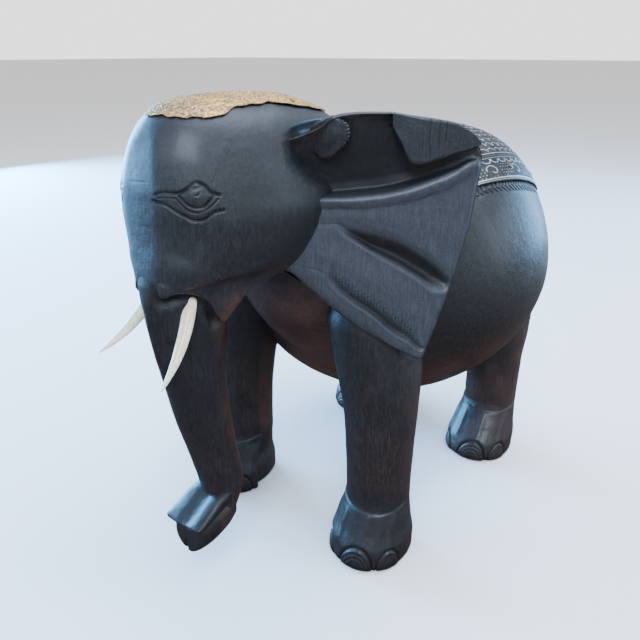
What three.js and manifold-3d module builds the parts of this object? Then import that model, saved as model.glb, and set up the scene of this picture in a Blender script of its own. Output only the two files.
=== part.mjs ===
// A carved wooden elephant, built up from glued blocks: barrel body, head with trunk, four legs,
// two ears of two boards each, tusks let into the cheeks, a brass sheet on the crown and a pewter
// sheet on the back.
// Millimetres, +Z up. The elephant faces -Y and its own left side is +X. It stands on z = 0.
import * as THREE from 'three';
import { mergeVertices } from 'three/addons/utils/BufferGeometryUtils.js';
import Module from 'manifold-3d';

const wasm = await Module();
wasm.setup();

// ---------------------------------------------------------------- driving dimensions (mm)
const GAP = 0.3; // clearance kept between pieces that touch

// barrel of the body, which begins at the chest and runs back from there
const CHEST_Y = -148;
const BARREL = { z: 285.5, halfWidth: 190, halfLength: 206, halfHeight: 168.5 };
BARREL.y = CHEST_Y + BARREL.halfLength;
const RUMP_Y = BARREL.y + BARREL.halfLength;
// where the back is squared for the saddle cloth
const BACK = { y: BARREL.y + 37, reach: 100, square: 0.8 };

// shaft axis of each leg; carved by eye, so no two sit quite alike
const LEGS = {
  front_left: { x: 108.5, y: CHEST_Y + 21, front: true },
  front_right: { x: -108.5, y: CHEST_Y + 30, front: true },
  rear_left: { x: 108.5, y: RUMP_Y - 103, front: false },
  rear_right: { x: -97, y: RUMP_Y - 96, front: false },
};
const FOOT_AHEAD = { front: 10.5, rear: 24 }; // the sole's middle lies this far ahead of the shaft

// neck and chest between barrel and head: [y, half width, underside, top]
const BACK_TOP = BARREL.z + BARREL.halfHeight;
const NECK = [
  [-196, 24, 318, 428],
  [-190, 46, 298, 437],
  [-176, 68, 272, 443],
  [-150, 86, 240, 445],
  [-110, 100, 206, BACK_TOP - 11],
  [-40, 112, 176, BACK_TOP - 24],
  [40, 118, 170, BACK_TOP - 38],
];
const NECK_START = { y: 4, z: 374 }; // pole of the neck, ahead of its first station
const GLUE_Y = -140; // glue plane between the head block and the body block

// head, by levels: [z, foremost y, rearmost y, half width]
const SKULL = [
  [314, -314, -214, 34],
  [324, -325, -186, 47],
  [340, -331, -150, 58],
  [362, -333, -116, 72],
  [384, -333, -96, 81],
  [404, -333, -90, 85],
  [424, -333, -87, 81],
  [445, -330, -88, 74],
  [463, -324, -94, 66],
  [477, -315, -118, 56],
  [487, -301, -146, 43],
  [493, -280, -172, 28],
];
const CROWN = { y: -226, z: 496.5 };
const SKULL_SQUARE = 2.2; // 2 is an oval seen from above
const SKULL_MIDDLE = { z: 405, half: 95 }; // the skull's levels spread from here when it is grown

// legs
const SHAFT_RADIUS = 35; // narrowest, just above the ankle
const FOOT = { halfWidth: 43.5, halfLength: 49, height: 62 };
const HIP_TOP = 262; // where the hind legs end inside the barrel
const SHOULDER_TOP = 318; // where the front legs end beside the chest

// ears, as boards that stand in a plane swept back from the crossways plane
const EAR_SWEEP = THREE.MathUtils.degToRad(38);
const EAR_FOOT = { x: 84, y: -200 }; // a point that the ear plane passes through
const EAR_SEAM = 60; // glue line between the two boards, along the ear plane
const EAR_THICK_ROOT = 26;
const EAR_THICK_RIM = 9;
const EAR_BACK = 6; // the back lies this far behind the ear plane before its thickness is added

// tusks
const TUSK_RADIUS = 6.5;
const TENON_RADIUS = 4.5;
const TENON_LENGTH = 24;
const TENON_FIT = 0.35; // radial clearance of the tenon in its socket
const TENON_OVERLAP = 1; // the tenon starts this far inside the tusk
const MOUTH_FIT = 0.9; // radial clearance of the tusk in the mouth of the socket
const MOUTH_LENGTH = 46; // the mouth is open this far, so that the bent tusk can be drawn out

// metal sheets
const CROWN_SHEET = 1.0;
const SADDLE_SHEET = 1.2;
const SHEET_GAP = 0.6; // the sheets lie a little off the wood
const SHEET_ROOT = -3; // they are drawn down to here, then the wood is cut out of them
const CROWN_REACH = 0.33; // share of the skull's shoulder that the brass covers
const CROWN_WAVE = { deep: 0.14, turn: 0.6 }; // its edge dips three times round the skull
const CROWN_RINGS = [0.25, 0.6, 1];
const SHEET_MIDDLE = 330; // the brass is lifted away from this height on the skull's axis
const SADDLE = {
  front: BARREL.y - 83,
  rear: BARREL.y + 92,
  sag: 26, // its rear edge bows back this far in the middle
  angleFront: 0.8, // half its width as an angle over the back, in radians
  angleRear: 1.0,
};
const TACK = { head: 3, dome: 1.4, pin: 0.9, length: 8 };
const TACK_GAP = 0.7; // under the tack's head, on a curved sheet
const TACK_FIT = 0.3; // radial clearance of a tack in its hole
const TACK_DEEPER = 1; // a tack's hole goes this much deeper than its point
const CROWN_TACKS = { count: 6, share: 0.85 };
const SADDLE_TACKS = { sides: [0.06, 0.94], along: [0.13, 0.5, 0.92], middle: [[0.5, 0.95], [0.5, 0.05]] };

// tail, hanging down the rump
const TAIL = { y: RUMP_Y - 2, rootZ: 322, tipZ: 168 };

// dowels
const NECK_DOWEL = { radius: 10, half: 45, x: 32, z: 385 };
const LEG_DOWEL = { radius: 10, half: 42 };
const SHOULDER_DOWEL = { inside: 28, behind: 14, z: 262 }; // across, from front leg into barrel
const HIP_DOWEL = { behind: 4, below: 9 }; // upright, its middle this far below the belly
const EAR_ROOT_DOWEL = { radius: 5, half: 22, u: -8, z: 402, behind: 20 };
const EAR_SEAM_DOWEL = { radius: 3, half: 14, z: 372, behind: 12 };
const TAIL_DOWEL = { radius: 4, half: 14, ahead: 8 };
const DOWEL_FIT = 0.3; // radial clearance of a dowel in its hole
const DOWEL_DEEPER = 1; // each hole is this much longer than its dowel at both ends

// ---------------------------------------------------------------- small helpers
const V = (x, y, z) => new THREE.Vector3(x, y, z);
const power = (v, p) => Math.sign(v) * Math.abs(v) ** p;
const lerp = THREE.MathUtils.lerp;
const range = (n) => Array.from({ length: n }, (_, i) => i);

// A smooth curve through [at, value] pairs that never overshoots them.
function curve(pairs) {
  const slope = pairs.map(([x, v], i) => {
    if (i === 0 || i === pairs.length - 1) return 0;
    const before = (v - pairs[i - 1][1]) / (x - pairs[i - 1][0]);
    const after = (pairs[i + 1][1] - v) / (pairs[i + 1][0] - x);
    return before * after <= 0 ? 0 : (2 * before * after) / (before + after);
  });
  return (x) => {
    if (x <= pairs[0][0]) return pairs[0][1];
    if (x >= pairs.at(-1)[0]) return pairs.at(-1)[1];
    const i = pairs.findIndex(([at]) => at > x) - 1;
    const step = pairs[i + 1][0] - pairs[i][0];
    const t = (x - pairs[i][0]) / step;
    return (
      (1 + 2 * t) * (1 - t) ** 2 * pairs[i][1] +
      t * (1 - t) ** 2 * step * slope[i] +
      t * t * (3 - 2 * t) * pairs[i + 1][1] +
      t * t * (t - 1) * step * slope[i + 1]
    );
  };
}

// Indexed geometry from points and triangles, with its faces turned outwards.
function solidFrom(points, triangles) {
  const sixfold = ([a, b, c]) => points[a].dot(points[b].clone().cross(points[c]));
  const volume = triangles.reduce((sum, face) => sum + sixfold(face), 0);
  const faces = volume < 0 ? triangles.map(([a, b, c]) => [a, c, b]) : triangles;
  const geometry = new THREE.BufferGeometry();
  const numbers = points.flatMap((p) => [p.x, p.y, p.z]);
  geometry.setAttribute('position', new THREE.Float32BufferAttribute(numbers, 3));
  geometry.setIndex(faces.flat());
  return geometry;
}

// Closed skin over rings of equal length, each end closed by a fan to a pole (or the ring's middle).
function skin(rings, startPole, endPole) {
  const n = rings[0].length;
  const points = rings.flat();
  const middle = (ring) => ring.reduce((sum, p) => sum.add(p), V(0, 0, 0)).divideScalar(n);
  const start = points.push(startPole ?? middle(rings[0])) - 1;
  const end = points.push(endPole ?? middle(rings.at(-1))) - 1;
  const triangles = [];
  for (let j = 0; j < n; j++) {
    const k = (j + 1) % n;
    triangles.push([start, j, k], [end, (rings.length - 1) * n + k, (rings.length - 1) * n + j]);
    for (let i = 0; i < rings.length - 1; i++) {
      const [a, b, c, d] = [i * n + j, i * n + k, (i + 1) * n + j, (i + 1) * n + k];
      triangles.push([a, c, b], [b, c, d]);
    }
  }
  return solidFrom(points, triangles);
}

// Closed sheet between an upper and a lower surface, both given on the unit square.
function sheet(across, along, upper, lower) {
  const points = [];
  for (const side of [upper, lower]) {
    for (let i = 0; i <= across; i++) {
      for (let j = 0; j <= along; j++) points.push(side(i / across, j / along));
    }
  }
  const at = (side, i, j) => side * (across + 1) * (along + 1) + i * (along + 1) + j;
  const triangles = [];
  const quad = (a, b, c, d) => triangles.push([a, b, c], [a, c, d]);
  for (let i = 0; i < across; i++) {
    for (let j = 0; j < along; j++) {
      quad(at(0, i, j), at(0, i + 1, j), at(0, i + 1, j + 1), at(0, i, j + 1));
      quad(at(1, i, j), at(1, i, j + 1), at(1, i + 1, j + 1), at(1, i + 1, j));
    }
  }
  for (let i = 0; i < across; i++) {
    quad(at(0, i, 0), at(1, i, 0), at(1, i + 1, 0), at(0, i + 1, 0));
    quad(at(0, i, along), at(0, i + 1, along), at(1, i + 1, along), at(1, i, along));
  }
  for (let j = 0; j < along; j++) {
    quad(at(0, 0, j), at(0, 0, j + 1), at(1, 0, j + 1), at(1, 0, j));
    quad(at(0, across, j), at(1, across, j), at(1, across, j + 1), at(0, across, j + 1));
  }
  return solidFrom(points, triangles);
}

function manifoldOf(geometry) {
  const bare = geometry.clone();
  for (const name of Object.keys(bare.attributes)) {
    if (name !== 'position') bare.deleteAttribute(name);
  }
  const merged = mergeVertices(bare, 1e-4);
  return new wasm.Manifold(
    new wasm.Mesh({
      numProp: 3,
      vertProperties: new Float32Array(merged.attributes.position.array),
      triVerts: new Uint32Array(merged.index.array),
    }),
  );
}

function geometryOf(manifold) {
  const mesh = manifold.getMesh();
  const geometry = new THREE.BufferGeometry();
  geometry.setAttribute('position', new THREE.BufferAttribute(new Float32Array(mesh.vertProperties), 3));
  geometry.setIndex([...mesh.triVerts]);
  return geometry;
}

// Only the largest body of a solid: slivers that a cut leaves behind are dropped.
function mainBody(manifold) {
  return manifold.decompose().sort((a, b) => b.volume() - a.volume())[0];
}

function box(x0, x1, y0, y1, z0, z1) {
  const geometry = new THREE.BoxGeometry(x1 - x0, y1 - y0, z1 - z0);
  geometry.translate((x0 + x1) / 2, (y0 + y1) / 2, (z0 + z1) / 2);
  return manifoldOf(geometry);
}

// A round pin centred on a point, along a direction.
function pin(centre, direction, radius, half, sides = 14) {
  const geometry = new THREE.CylinderGeometry(radius, radius, 2 * half, sides);
  const way = direction.clone().normalize();
  geometry.applyQuaternion(new THREE.Quaternion().setFromUnitVectors(V(0, 1, 0), way));
  geometry.translate(centre.x, centre.y, centre.z);
  return geometry;
}

const mirrored = (geometry) => {
  const other = geometry.clone().applyMatrix4(new THREE.Matrix4().makeScale(-1, 1, 1));
  const index = [...other.index.array];
  for (let i = 0; i < index.length; i += 3) [index[i + 1], index[i + 2]] = [index[i + 2], index[i + 1]];
  other.setIndex(index);
  return other;
};

// ---------------------------------------------------------------- body
// Point of the barrel's surface: t runs round the section from +X over the top,
// lengthwise is -1 at the chest and 1 at the rump.
function barrelPoint(t, lengthwise, grow = 0) {
  const y = BARREL.y + (BARREL.halfLength + grow) * Math.sin((Math.PI / 2) * lengthwise);
  const s = Math.cos((Math.PI / 2) * lengthwise);
  const over = Math.max(0, 1 - ((y - BACK.y) / BACK.reach) ** 2);
  const n = Math.sin(t) > 0 ? 2 + BACK.square * over * Math.sin(t) ** 2 : 2;
  return V(
    (BARREL.halfWidth + grow) * s * power(Math.cos(t), 2 / n),
    y,
    BARREL.z + (BARREL.halfHeight + grow) * s * power(Math.sin(t), 2 / n),
  );
}

function barrel(grow) {
  const rings = range(19).map((i) =>
    range(32).map((j) => barrelPoint((j / 32) * 2 * Math.PI, lerp(-0.95, 0.95, i / 18), grow)),
  );
  const end = BARREL.halfLength + grow;
  return skin(rings, V(0, BARREL.y - end, BARREL.z), V(0, BARREL.y + end, BARREL.z));
}

function neck(grow) {
  const rings = NECK.map(([y, halfWidth, under, top]) => {
    const [middle, half] = [(top + under) / 2, (top - under) / 2 + grow];
    return range(24).map((j) => {
      const t = (j / 24) * 2 * Math.PI;
      return V((halfWidth + grow) * Math.cos(t), y, middle + half * Math.sin(t));
    });
  });
  return skin(rings, V(0, NECK[0][0] - NECK_START.y - grow, NECK_START.z));
}

// ---------------------------------------------------------------- head and trunk
function skull(grow) {
  const rings = SKULL.map(([z, front, rear, halfWidth]) => {
    const [y, halfLength] = [(front + rear) / 2, (rear - front) / 2 + grow];
    return range(28).map((j) => {
      const t = (j / 28) * 2 * Math.PI;
      const [c, k] = [power(Math.cos(t), 2 / SKULL_SQUARE), power(Math.sin(t), 2 / SKULL_SQUARE)];
      const level = z + (grow * (z - SKULL_MIDDLE.z)) / SKULL_MIDDLE.half;
      return V((halfWidth + grow) * c, y + halfLength * k, level);
    });
  });
  return skin(rings, undefined, V(0, CROWN.y, CROWN.z + grow));
}

// Trunk: an oval carried down the middle of the face and round the curl at the tip.
// Each station: [y, z, half width, half depth, lean of the section from level in degrees]
const TRUNK = [
  [-288, 372, 46, 45, 0],
  [-293, 340, 40, 45, 0],
  [-294, 312, 34, 42, 0],
  [-293, 280, 30, 36, 0],
  [-290, 245, 27.5, 31.5, 4],
  [-281, 190, 25, 28.5, 6],
  [-270, 145, 23, 25.5, 6],
  [-263, 112, 22, 24, -14],
  [-266, 86, 23, 26, -45],
  [-281, 76, 24, 30, -72],
  [-299, 77, 25, 32, -86],
  [-313, 82, 24, 31, -96],
];

function trunk(grow) {
  const rings = TRUNK.map(([y, z, w, d, lean]) => {
    const a = THREE.MathUtils.degToRad(lean);
    return range(18).map((j) => {
      const t = (j / 18) * 2 * Math.PI;
      const out = (d + grow) * Math.sin(t);
      return V((w + grow) * Math.cos(t), y - out * Math.cos(a), z + out * Math.sin(a));
    });
  });
  return skin(rings);
}

// ---------------------------------------------------------------- legs
// A leg is an oval carried up from the sole: [z, share of the foot's shift ahead, half width, half length]
const FOOT_RINGS = [
  [0, 1, FOOT.halfWidth - 4, FOOT.halfLength - 5],
  [8, 1, FOOT.halfWidth, FOOT.halfLength],
  [22, 0.9, FOOT.halfWidth, FOOT.halfLength - 1],
  [42, 0.55, FOOT.halfWidth - 4, FOOT.halfLength - 8],
  [FOOT.height, 0.15, SHAFT_RADIUS + 1, SHAFT_RADIUS + 2],
  [FOOT.height + 12, 0, SHAFT_RADIUS, SHAFT_RADIUS],
];
// and the shaft above it: [z, shift back, half width, half length]
const FRONT_SHAFT = [
  [130, 0, SHAFT_RADIUS + 1, SHAFT_RADIUS + 2],
  [180, 1, SHAFT_RADIUS + 4, SHAFT_RADIUS + 6],
  [230, 3, SHAFT_RADIUS + 8, SHAFT_RADIUS + 13],
  [275, 3, SHAFT_RADIUS + 9, SHAFT_RADIUS + 16],
  [300, 4, SHAFT_RADIUS + 2, SHAFT_RADIUS + 8],
  [SHOULDER_TOP, 6, SHAFT_RADIUS - 18, SHAFT_RADIUS - 14],
];
const HIND_SHAFT = [
  [130, 1, SHAFT_RADIUS + 1, SHAFT_RADIUS],
  [180, 5, SHAFT_RADIUS + 6, SHAFT_RADIUS + 6],
  [230, 9, SHAFT_RADIUS + 13, SHAFT_RADIUS + 14],
  [HIP_TOP, 9, SHAFT_RADIUS + 13, SHAFT_RADIUS + 14],
];
const SHOULDER_LEAN = { from: 150, by: 22 }; // the front legs lean in to the chest
const SHOULDER_IN = curve([[SHOULDER_LEAN.from, 0], [SHOULDER_TOP, SHOULDER_LEAN.by]]);
const LEG_SQUARE = 0.92; // 1 is an oval
const CLOSED_ABOVE = 280; // a leg's top is lifted with its clearance, its sole is not

function leg({ x, y, front }, grow = 0) {
  const ahead = front ? FOOT_AHEAD.front : FOOT_AHEAD.rear;
  const foot = FOOT_RINGS.map(([z, share, w, l]) => [z, -ahead * share, w, l]);
  const rings = [...foot, ...(front ? FRONT_SHAFT : HIND_SHAFT)].map(([z, back, w, l]) => {
    const x0 = Math.abs(x) - (front ? SHOULDER_IN(z) : 0);
    return range(20).map((j) => {
      const t = (j / 20) * 2 * Math.PI;
      const [c, k] = [power(Math.cos(t), LEG_SQUARE), power(Math.sin(t), LEG_SQUARE)];
      const level = z + (z > CLOSED_ABOVE ? grow : 0);
      return V(Math.sign(x) * (x0 + (w + grow) * c), y + back + (l + grow) * k, level);
    });
  });
  return skin(rings);
}

// ---------------------------------------------------------------- ears
// The ear plane: u runs outwards and back from EAR_FOOT, out is its normal, forwards and outwards.
const earU = V(Math.cos(EAR_SWEEP), Math.sin(EAR_SWEEP), 0);
const earOut = V(Math.sin(EAR_SWEEP), -Math.cos(EAR_SWEEP), 0);
const earFoot = (z) => V(EAR_FOOT.x, EAR_FOOT.y, z);
const earPoint = (u, z, d) => earFoot(z).addScaledVector(earU, u).addScaledVector(earOut, d);

// Fold lines that fan out from the root to the rim, from the top edge to the lower edge:
// [share of the way down, root u, root z, rim u, rim z, bow upwards, height at root, middle, rim]
const EAR_FOLDS = [
  [0.0, -52, 462, 132, 466, 17, -4, -6, -4],
  [0.06, -52, 455, 136, 455, 15, 2, -2, 2],
  [0.2, -45, 432, 138, 446, -4, -8, -16, -3],
  [0.27, -30, 412, 137, 441, -10, 4, 3, 2],
  [0.33, -30, 402, 136, 432, -10, 4, 4, 1],
  [0.55, -40, 388, 122, 331, 12, 2, -8, -10],
  [0.58, -40, 384, 119, 320, 10, 4, 3, 2],
  [0.82, -50, 352, 104, 268, 7, 2, -6, -6],
  [0.86, -52, 346, 101, 260, 4, 3, 1, 0],
  [1.0, -58, 352, 97, 249, -7, 0, -2, -1],
];

function earFrontHeight(v, s) {
  const at = (column) => curve(EAR_FOLDS.map((row) => [row[0], row[column]]))(v);
  return curve([[0, at(6)], [0.5, at(7)], [1, at(8)]])(s);
}

function earLine(v, s) {
  const at = (column) => curve(EAR_FOLDS.map((row) => [row[0], row[column]]))(v);
  return [lerp(at(1), at(3), s), lerp(at(2), at(4), s) + at(5) * 4 * s * (1 - s)];
}

function ear() {
  const down = EAR_FOLDS.flatMap((row, i) => (i ? [(row[0] + EAR_FOLDS[i - 1][0]) / 2, row[0]] : [row[0]]));
  const front = (i, j) => {
    const v = down[Math.round(i * (down.length - 1))];
    return earPoint(...earLine(v, j), earFrontHeight(v, j));
  };
  const back = (i, j) => {
    const v = down[Math.round(i * (down.length - 1))];
    return earPoint(...earLine(v, j), -EAR_BACK - lerp(EAR_THICK_ROOT, EAR_THICK_RIM, j));
  };
  return sheet(down.length - 1, 9, front, back);
}

// ---------------------------------------------------------------- tusks
const TUSK_ROOT = V(25, -311, 329);
const TUSK_TIP = { left: V(42, -361, 269), right: V(42, -361, 281) };
const TUSK_BOW = 7; // how far the tusk bows down and back from the straight line

function tuskAxis(side, k) {
  const tip = TUSK_TIP[side];
  const along = tip.clone().sub(TUSK_ROOT);
  const bow = V(1, 0, 0).cross(along).normalize().multiplyScalar(TUSK_BOW * 4 * k * (1 - k));
  return TUSK_ROOT.clone().addScaledVector(along, k).add(bow);
}

function horn(side, grow, from = 0) {
  const radius = curve([[0, TUSK_RADIUS], [0.45, TUSK_RADIUS * 0.86], [0.8, TUSK_RADIUS * 0.5], [1, 0.8]]);
  const rings = range(9).map((i) => {
    const k = lerp(from, 1, i / 8);
    const centre = tuskAxis(side, k);
    const ahead = tuskAxis(side, k + 0.01).sub(tuskAxis(side, k - 0.01)).normalize();
    const across = V(1, 0, 0).addScaledVector(ahead, -ahead.x).normalize();
    const up = ahead.clone().cross(across);
    return range(12).map((j) => {
      const t = (j / 12) * 2 * Math.PI;
      const r = radius(k) + grow;
      return centre.clone().addScaledVector(across, r * Math.cos(t)).addScaledVector(up, r * Math.sin(t));
    });
  });
  return skin(rings);
}

// The line that a tusk is pushed in along.
const tuskLine = (side) => tuskAxis(side, 0.01).sub(tuskAxis(side, -0.01)).normalize();

function tenon(side, grow) {
  const half = (TENON_LENGTH + grow) / 2;
  const middle = TUSK_ROOT.clone().addScaledVector(tuskLine(side), TENON_OVERLAP - half);
  return pin(middle, tuskLine(side), TENON_RADIUS + grow, half, 12);
}

// ---------------------------------------------------------------- tail
function tail() {
  // [y, z, radius] from the root down to the tuft
  const stations = [
    [TAIL.y - 10, TAIL.rootZ + 6, 10],
    [TAIL.y + 3, TAIL.rootZ, 10],
    [TAIL.y + 8, TAIL.rootZ - 16, 9],
    [TAIL.y + 6, TAIL.rootZ - 70, 7],
    [TAIL.y + 2, TAIL.tipZ + 44, 6.5],
    [TAIL.y, TAIL.tipZ + 22, 9],
    [TAIL.y - 1, TAIL.tipZ + 6, 6],
    [TAIL.y - 1, TAIL.tipZ, 2],
  ];
  const rings = stations.map(([y, z, r], i) => {
    const lean = Math.PI / 2 * Math.max(0, 1 - i / 2);
    return range(12).map((j) => {
      const t = (j / 12) * 2 * Math.PI;
      const out = r * Math.sin(t);
      return V(r * Math.cos(t), y + out * Math.cos(lean), z + out * Math.sin(lean));
    });
  });
  return skin(rings);
}

// ---------------------------------------------------------------- metal sheets and their tacks
// Skull surface above a plan position given by angle and share of the way out from the crown.
function skullPoint(t, share, lift) {
  const levels = [...SKULL.slice(-6)].reverse();
  const k = share * (levels.length - 0.001);
  const [i, f] = [Math.floor(k), k % 1];
  const above = i === 0 ? [CROWN.z, CROWN.y, CROWN.y, 0] : levels[i - 1];
  const [z, front, rear, halfWidth] = above.map((value, c) => lerp(value, levels[i][c], f));
  const ring = V(
    halfWidth * power(Math.cos(t), 2 / SKULL_SQUARE),
    (front + rear) / 2 + ((rear - front) / 2) * power(Math.sin(t), 2 / SKULL_SQUARE),
    z,
  );
  const out = ring.clone().sub(V(0, CROWN.y, SHEET_MIDDLE)).normalize();
  return ring.addScaledVector(out, lift);
}

const crownEdge = (t) => CROWN_REACH * (1 + CROWN_WAVE.deep * Math.sin(3 * t + CROWN_WAVE.turn));

function crownSheet() {
  const rings = [];
  for (const lift of [SHEET_GAP + CROWN_SHEET, SHEET_ROOT]) {
    const shares = lift > 0 ? CROWN_RINGS : [...CROWN_RINGS].reverse();
    for (const share of shares) {
      const turns = range(28).map((j) => (j / 28) * 2 * Math.PI);
      rings.push(turns.map((t) => skullPoint(t, share * crownEdge(t), lift)));
    }
  }
  return skin(rings, skullPoint(0, 0, SHEET_GAP + CROWN_SHEET), skullPoint(0, 0, SHEET_ROOT));
}

function crownTacks() {
  return range(CROWN_TACKS.count).map((i) => {
    const t = ((i + 0.5) / CROWN_TACKS.count) * 2 * Math.PI;
    const share = CROWN_TACKS.share * crownEdge(t);
    const foot = skullPoint(t, share, 0);
    const top = skullPoint(t, share, SHEET_GAP + CROWN_SHEET + TACK_GAP);
    return { name: `crown_tack_${i + 1}`, at: top, out: top.clone().sub(foot).normalize() };
  });
}

// Body surface under the saddle cloth: a is the angle over the back from the top, y the place along it.
function backPoint(a, y, lift) {
  const s = (2 / Math.PI) * Math.asin((y - BARREL.y) / BARREL.halfLength);
  const onBarrel = barrelPoint(Math.PI / 2 - a, s);
  const out = onBarrel.clone().sub(V(0, y, BARREL.z)).normalize();
  return onBarrel.addScaledVector(out, lift);
}

function saddlePoint(across, along, lift) {
  const side = 2 * across - 1;
  const rear = SADDLE.rear + SADDLE.sag * (1 - side * side);
  const angle = lerp(SADDLE.angleFront, SADDLE.angleRear, along);
  return backPoint(angle * side, lerp(SADDLE.front, rear, along), lift);
}

function saddleSheet() {
  const surface = (lift) => (across, along) => saddlePoint(across, along, lift);
  return sheet(20, 9, surface(SHEET_GAP + SADDLE_SHEET), surface(SHEET_ROOT));
}

function saddleTacks() {
  const { sides, along: rows, middle } = SADDLE_TACKS;
  const spots = [...sides.flatMap((across) => rows.map((along) => [across, along])), ...middle];
  const slope = (a, b) => saddlePoint(...a, 0).sub(saddlePoint(...b, 0));
  return spots.map(([k, m], i) => {
    const across = slope([k + 0.02, m], [k - 0.02, m]);
    const along = slope([k, m + 0.02], [k, m - 0.02]);
    const out = across.cross(along).normalize();
    const at = saddlePoint(k, m, 0).addScaledVector(out, SHEET_GAP + SADDLE_SHEET + TACK_GAP);
    return { name: `saddle_tack_${i + 1}`, at, out };
  });
}

// A round-headed tack: its head sits on the sheet and its pin goes down into the wood.
function tack(at, out) {
  const { head, dome, pin: r, length } = TACK;
  const profile = [[0, -length], [r, -length + 1], [r, 0], [head, 0], [head * 0.8, dome * 0.6], [0, dome]];
  const geometry = new THREE.LatheGeometry(profile.map(([x, y]) => new THREE.Vector2(x, y)), 8);
  geometry.applyQuaternion(new THREE.Quaternion().setFromUnitVectors(V(0, 1, 0), out));
  geometry.translate(at.x, at.y, at.z);
  return geometryOf(manifoldOf(geometry));
}

function tackHole(at, out) {
  const half = (TACK.length + TACK_DEEPER + TACK.dome) / 2;
  const middle = at.clone().addScaledVector(out, TACK.dome - half);
  return pin(middle, out, TACK.pin + TACK_FIT, half, 8);
}

// ---------------------------------------------------------------- assembly
const WOOD = { color: 0x17161a, roughness: 0.35, metalness: 0 };
const DOWEL_WOOD = { color: 0xb08a58, roughness: 0.7, metalness: 0 };
const IVORY = { color: 0xe9dfc4, roughness: 0.5, metalness: 0 };
const BRASS = { color: 0xa8823c, roughness: 0.4, metalness: 1 };
const PEWTER = { color: 0x5a5a5c, roughness: 0.5, metalness: 1 };
const object = new THREE.Group();

function place(name, geometry, look) {
  const mesh = new THREE.Mesh(geometry, new THREE.MeshStandardMaterial(look));
  mesh.name = name;
  object.add(mesh);
}

// the carved mass, and the same mass grown by the clearance, for what is glued against it
const mass = (grow) => {
  const parts = [barrel(grow), neck(grow), skull(grow), trunk(grow)].map(manifoldOf);
  return parts.reduce((sum, part) => sum.add(part));
};
const carved = mass(0);
const grown = mass(GAP);

// dowels: [name, centre, direction, size]
const ears = ['left', 'right'];
const flip = (side) => (side === 'left' ? 1 : -1);
// where the barrel's underside and its side are, at a place along and across or along and up
const slice = (y, across) => Math.sqrt(1 - ((y - BARREL.y) / BARREL.halfLength) ** 2 - across ** 2);
const bellyZ = (x, y) => BARREL.z - BARREL.halfHeight * slice(y, x / BARREL.halfWidth);
const sideX = (y, z) => BARREL.halfWidth * slice(y, (z - BARREL.z) / BARREL.halfHeight);
function legDowelAt({ x, y, front }) {
  if (!front) return [V(x, y + HIP_DOWEL.behind, bellyZ(x, y) - HIP_DOWEL.below), V(0, 0, 1)];
  const [behind, level] = [y + SHOULDER_DOWEL.behind, SHOULDER_DOWEL.z];
  const out = sideX(behind, level) - SHOULDER_DOWEL.inside;
  return [V(Math.sign(x) * out, behind, level), V(1, 0, 0)];
}
const neckDowelAt = (side) => V(flip(side) * NECK_DOWEL.x, GLUE_Y, NECK_DOWEL.z);
const DOWELS = [
  ...ears.map((side) => [`neck_dowel_${side}`, neckDowelAt(side), V(0, 1, 0), NECK_DOWEL]),
  ...Object.entries(LEGS).map(([name, at]) => [`${name}_leg_dowel`, ...legDowelAt(at), LEG_DOWEL]),
  ...ears.flatMap((side) => {
    const turned = (v) => V(flip(side) * v.x, v.y, v.z);
    const across = turned(earU);
    const inRoot = turned(earPoint(EAR_ROOT_DOWEL.u, EAR_ROOT_DOWEL.z, -EAR_ROOT_DOWEL.behind));
    const inSeam = turned(earPoint(EAR_SEAM, EAR_SEAM_DOWEL.z, -EAR_SEAM_DOWEL.behind));
    return [
      [`${side}_ear_root_dowel`, inRoot, across, EAR_ROOT_DOWEL],
      [`${side}_ear_seam_dowel`, inSeam, across, EAR_SEAM_DOWEL],
    ];
  }),
  ['tail_dowel', V(0, TAIL.y - TAIL_DOWEL.ahead, TAIL.rootZ), V(0, 1, 0), TAIL_DOWEL],
];
const holes = DOWELS.map(([, at, along, size]) =>
  manifoldOf(pin(at, along, size.radius + DOWEL_FIT, size.half + DOWEL_DEEPER)),
).reduce((sum, hole) => sum.add(hole));

// tusk sockets, mouth of each shaped to the horn
const sockets = ears.map((side) => {
  const half = MOUTH_LENGTH / 2;
  const middle = TUSK_ROOT.clone().addScaledVector(tuskLine(side), half);
  const mouth = pin(middle, tuskLine(side), TUSK_RADIUS + MOUTH_FIT, half);
  const hollows = [mouth, horn(side, TENON_FIT), tenon(side, TENON_FIT)].map(manifoldOf);
  const shape = hollows.reduce((sum, part) => sum.add(part));
  return side === 'left' ? shape : manifoldOf(mirrored(geometryOf(shape)));
});

// tacks of both sheets, with their holes
const TACKS = [...crownTacks(), ...saddleTacks()];
const tackHoles = TACKS.map(({ at, out }) => manifoldOf(tackHole(at, out))).reduce((sum, hole) =>
  sum.add(hole),
);

const far = 1000;
const headBlock = carved.intersect(box(-far, far, -far, GLUE_Y - GAP / 2, 0, far));
const bodyBlock = carved.intersect(box(-far, far, GLUE_Y + GAP / 2, far, 0, far));
const finish = (solid) => geometryOf(mainBody(solid.subtract(holes).subtract(tackHoles)));
place('head_and_trunk', finish(sockets.reduce((solid, socket) => solid.subtract(socket), headBlock)), WOOD);
place('body', finish(bodyBlock), WOOD);
for (const [name, at] of Object.entries(LEGS)) {
  place(`${name}_leg`, geometryOf(mainBody(manifoldOf(leg(at)).subtract(grown).subtract(holes))), WOOD);
}

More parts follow.
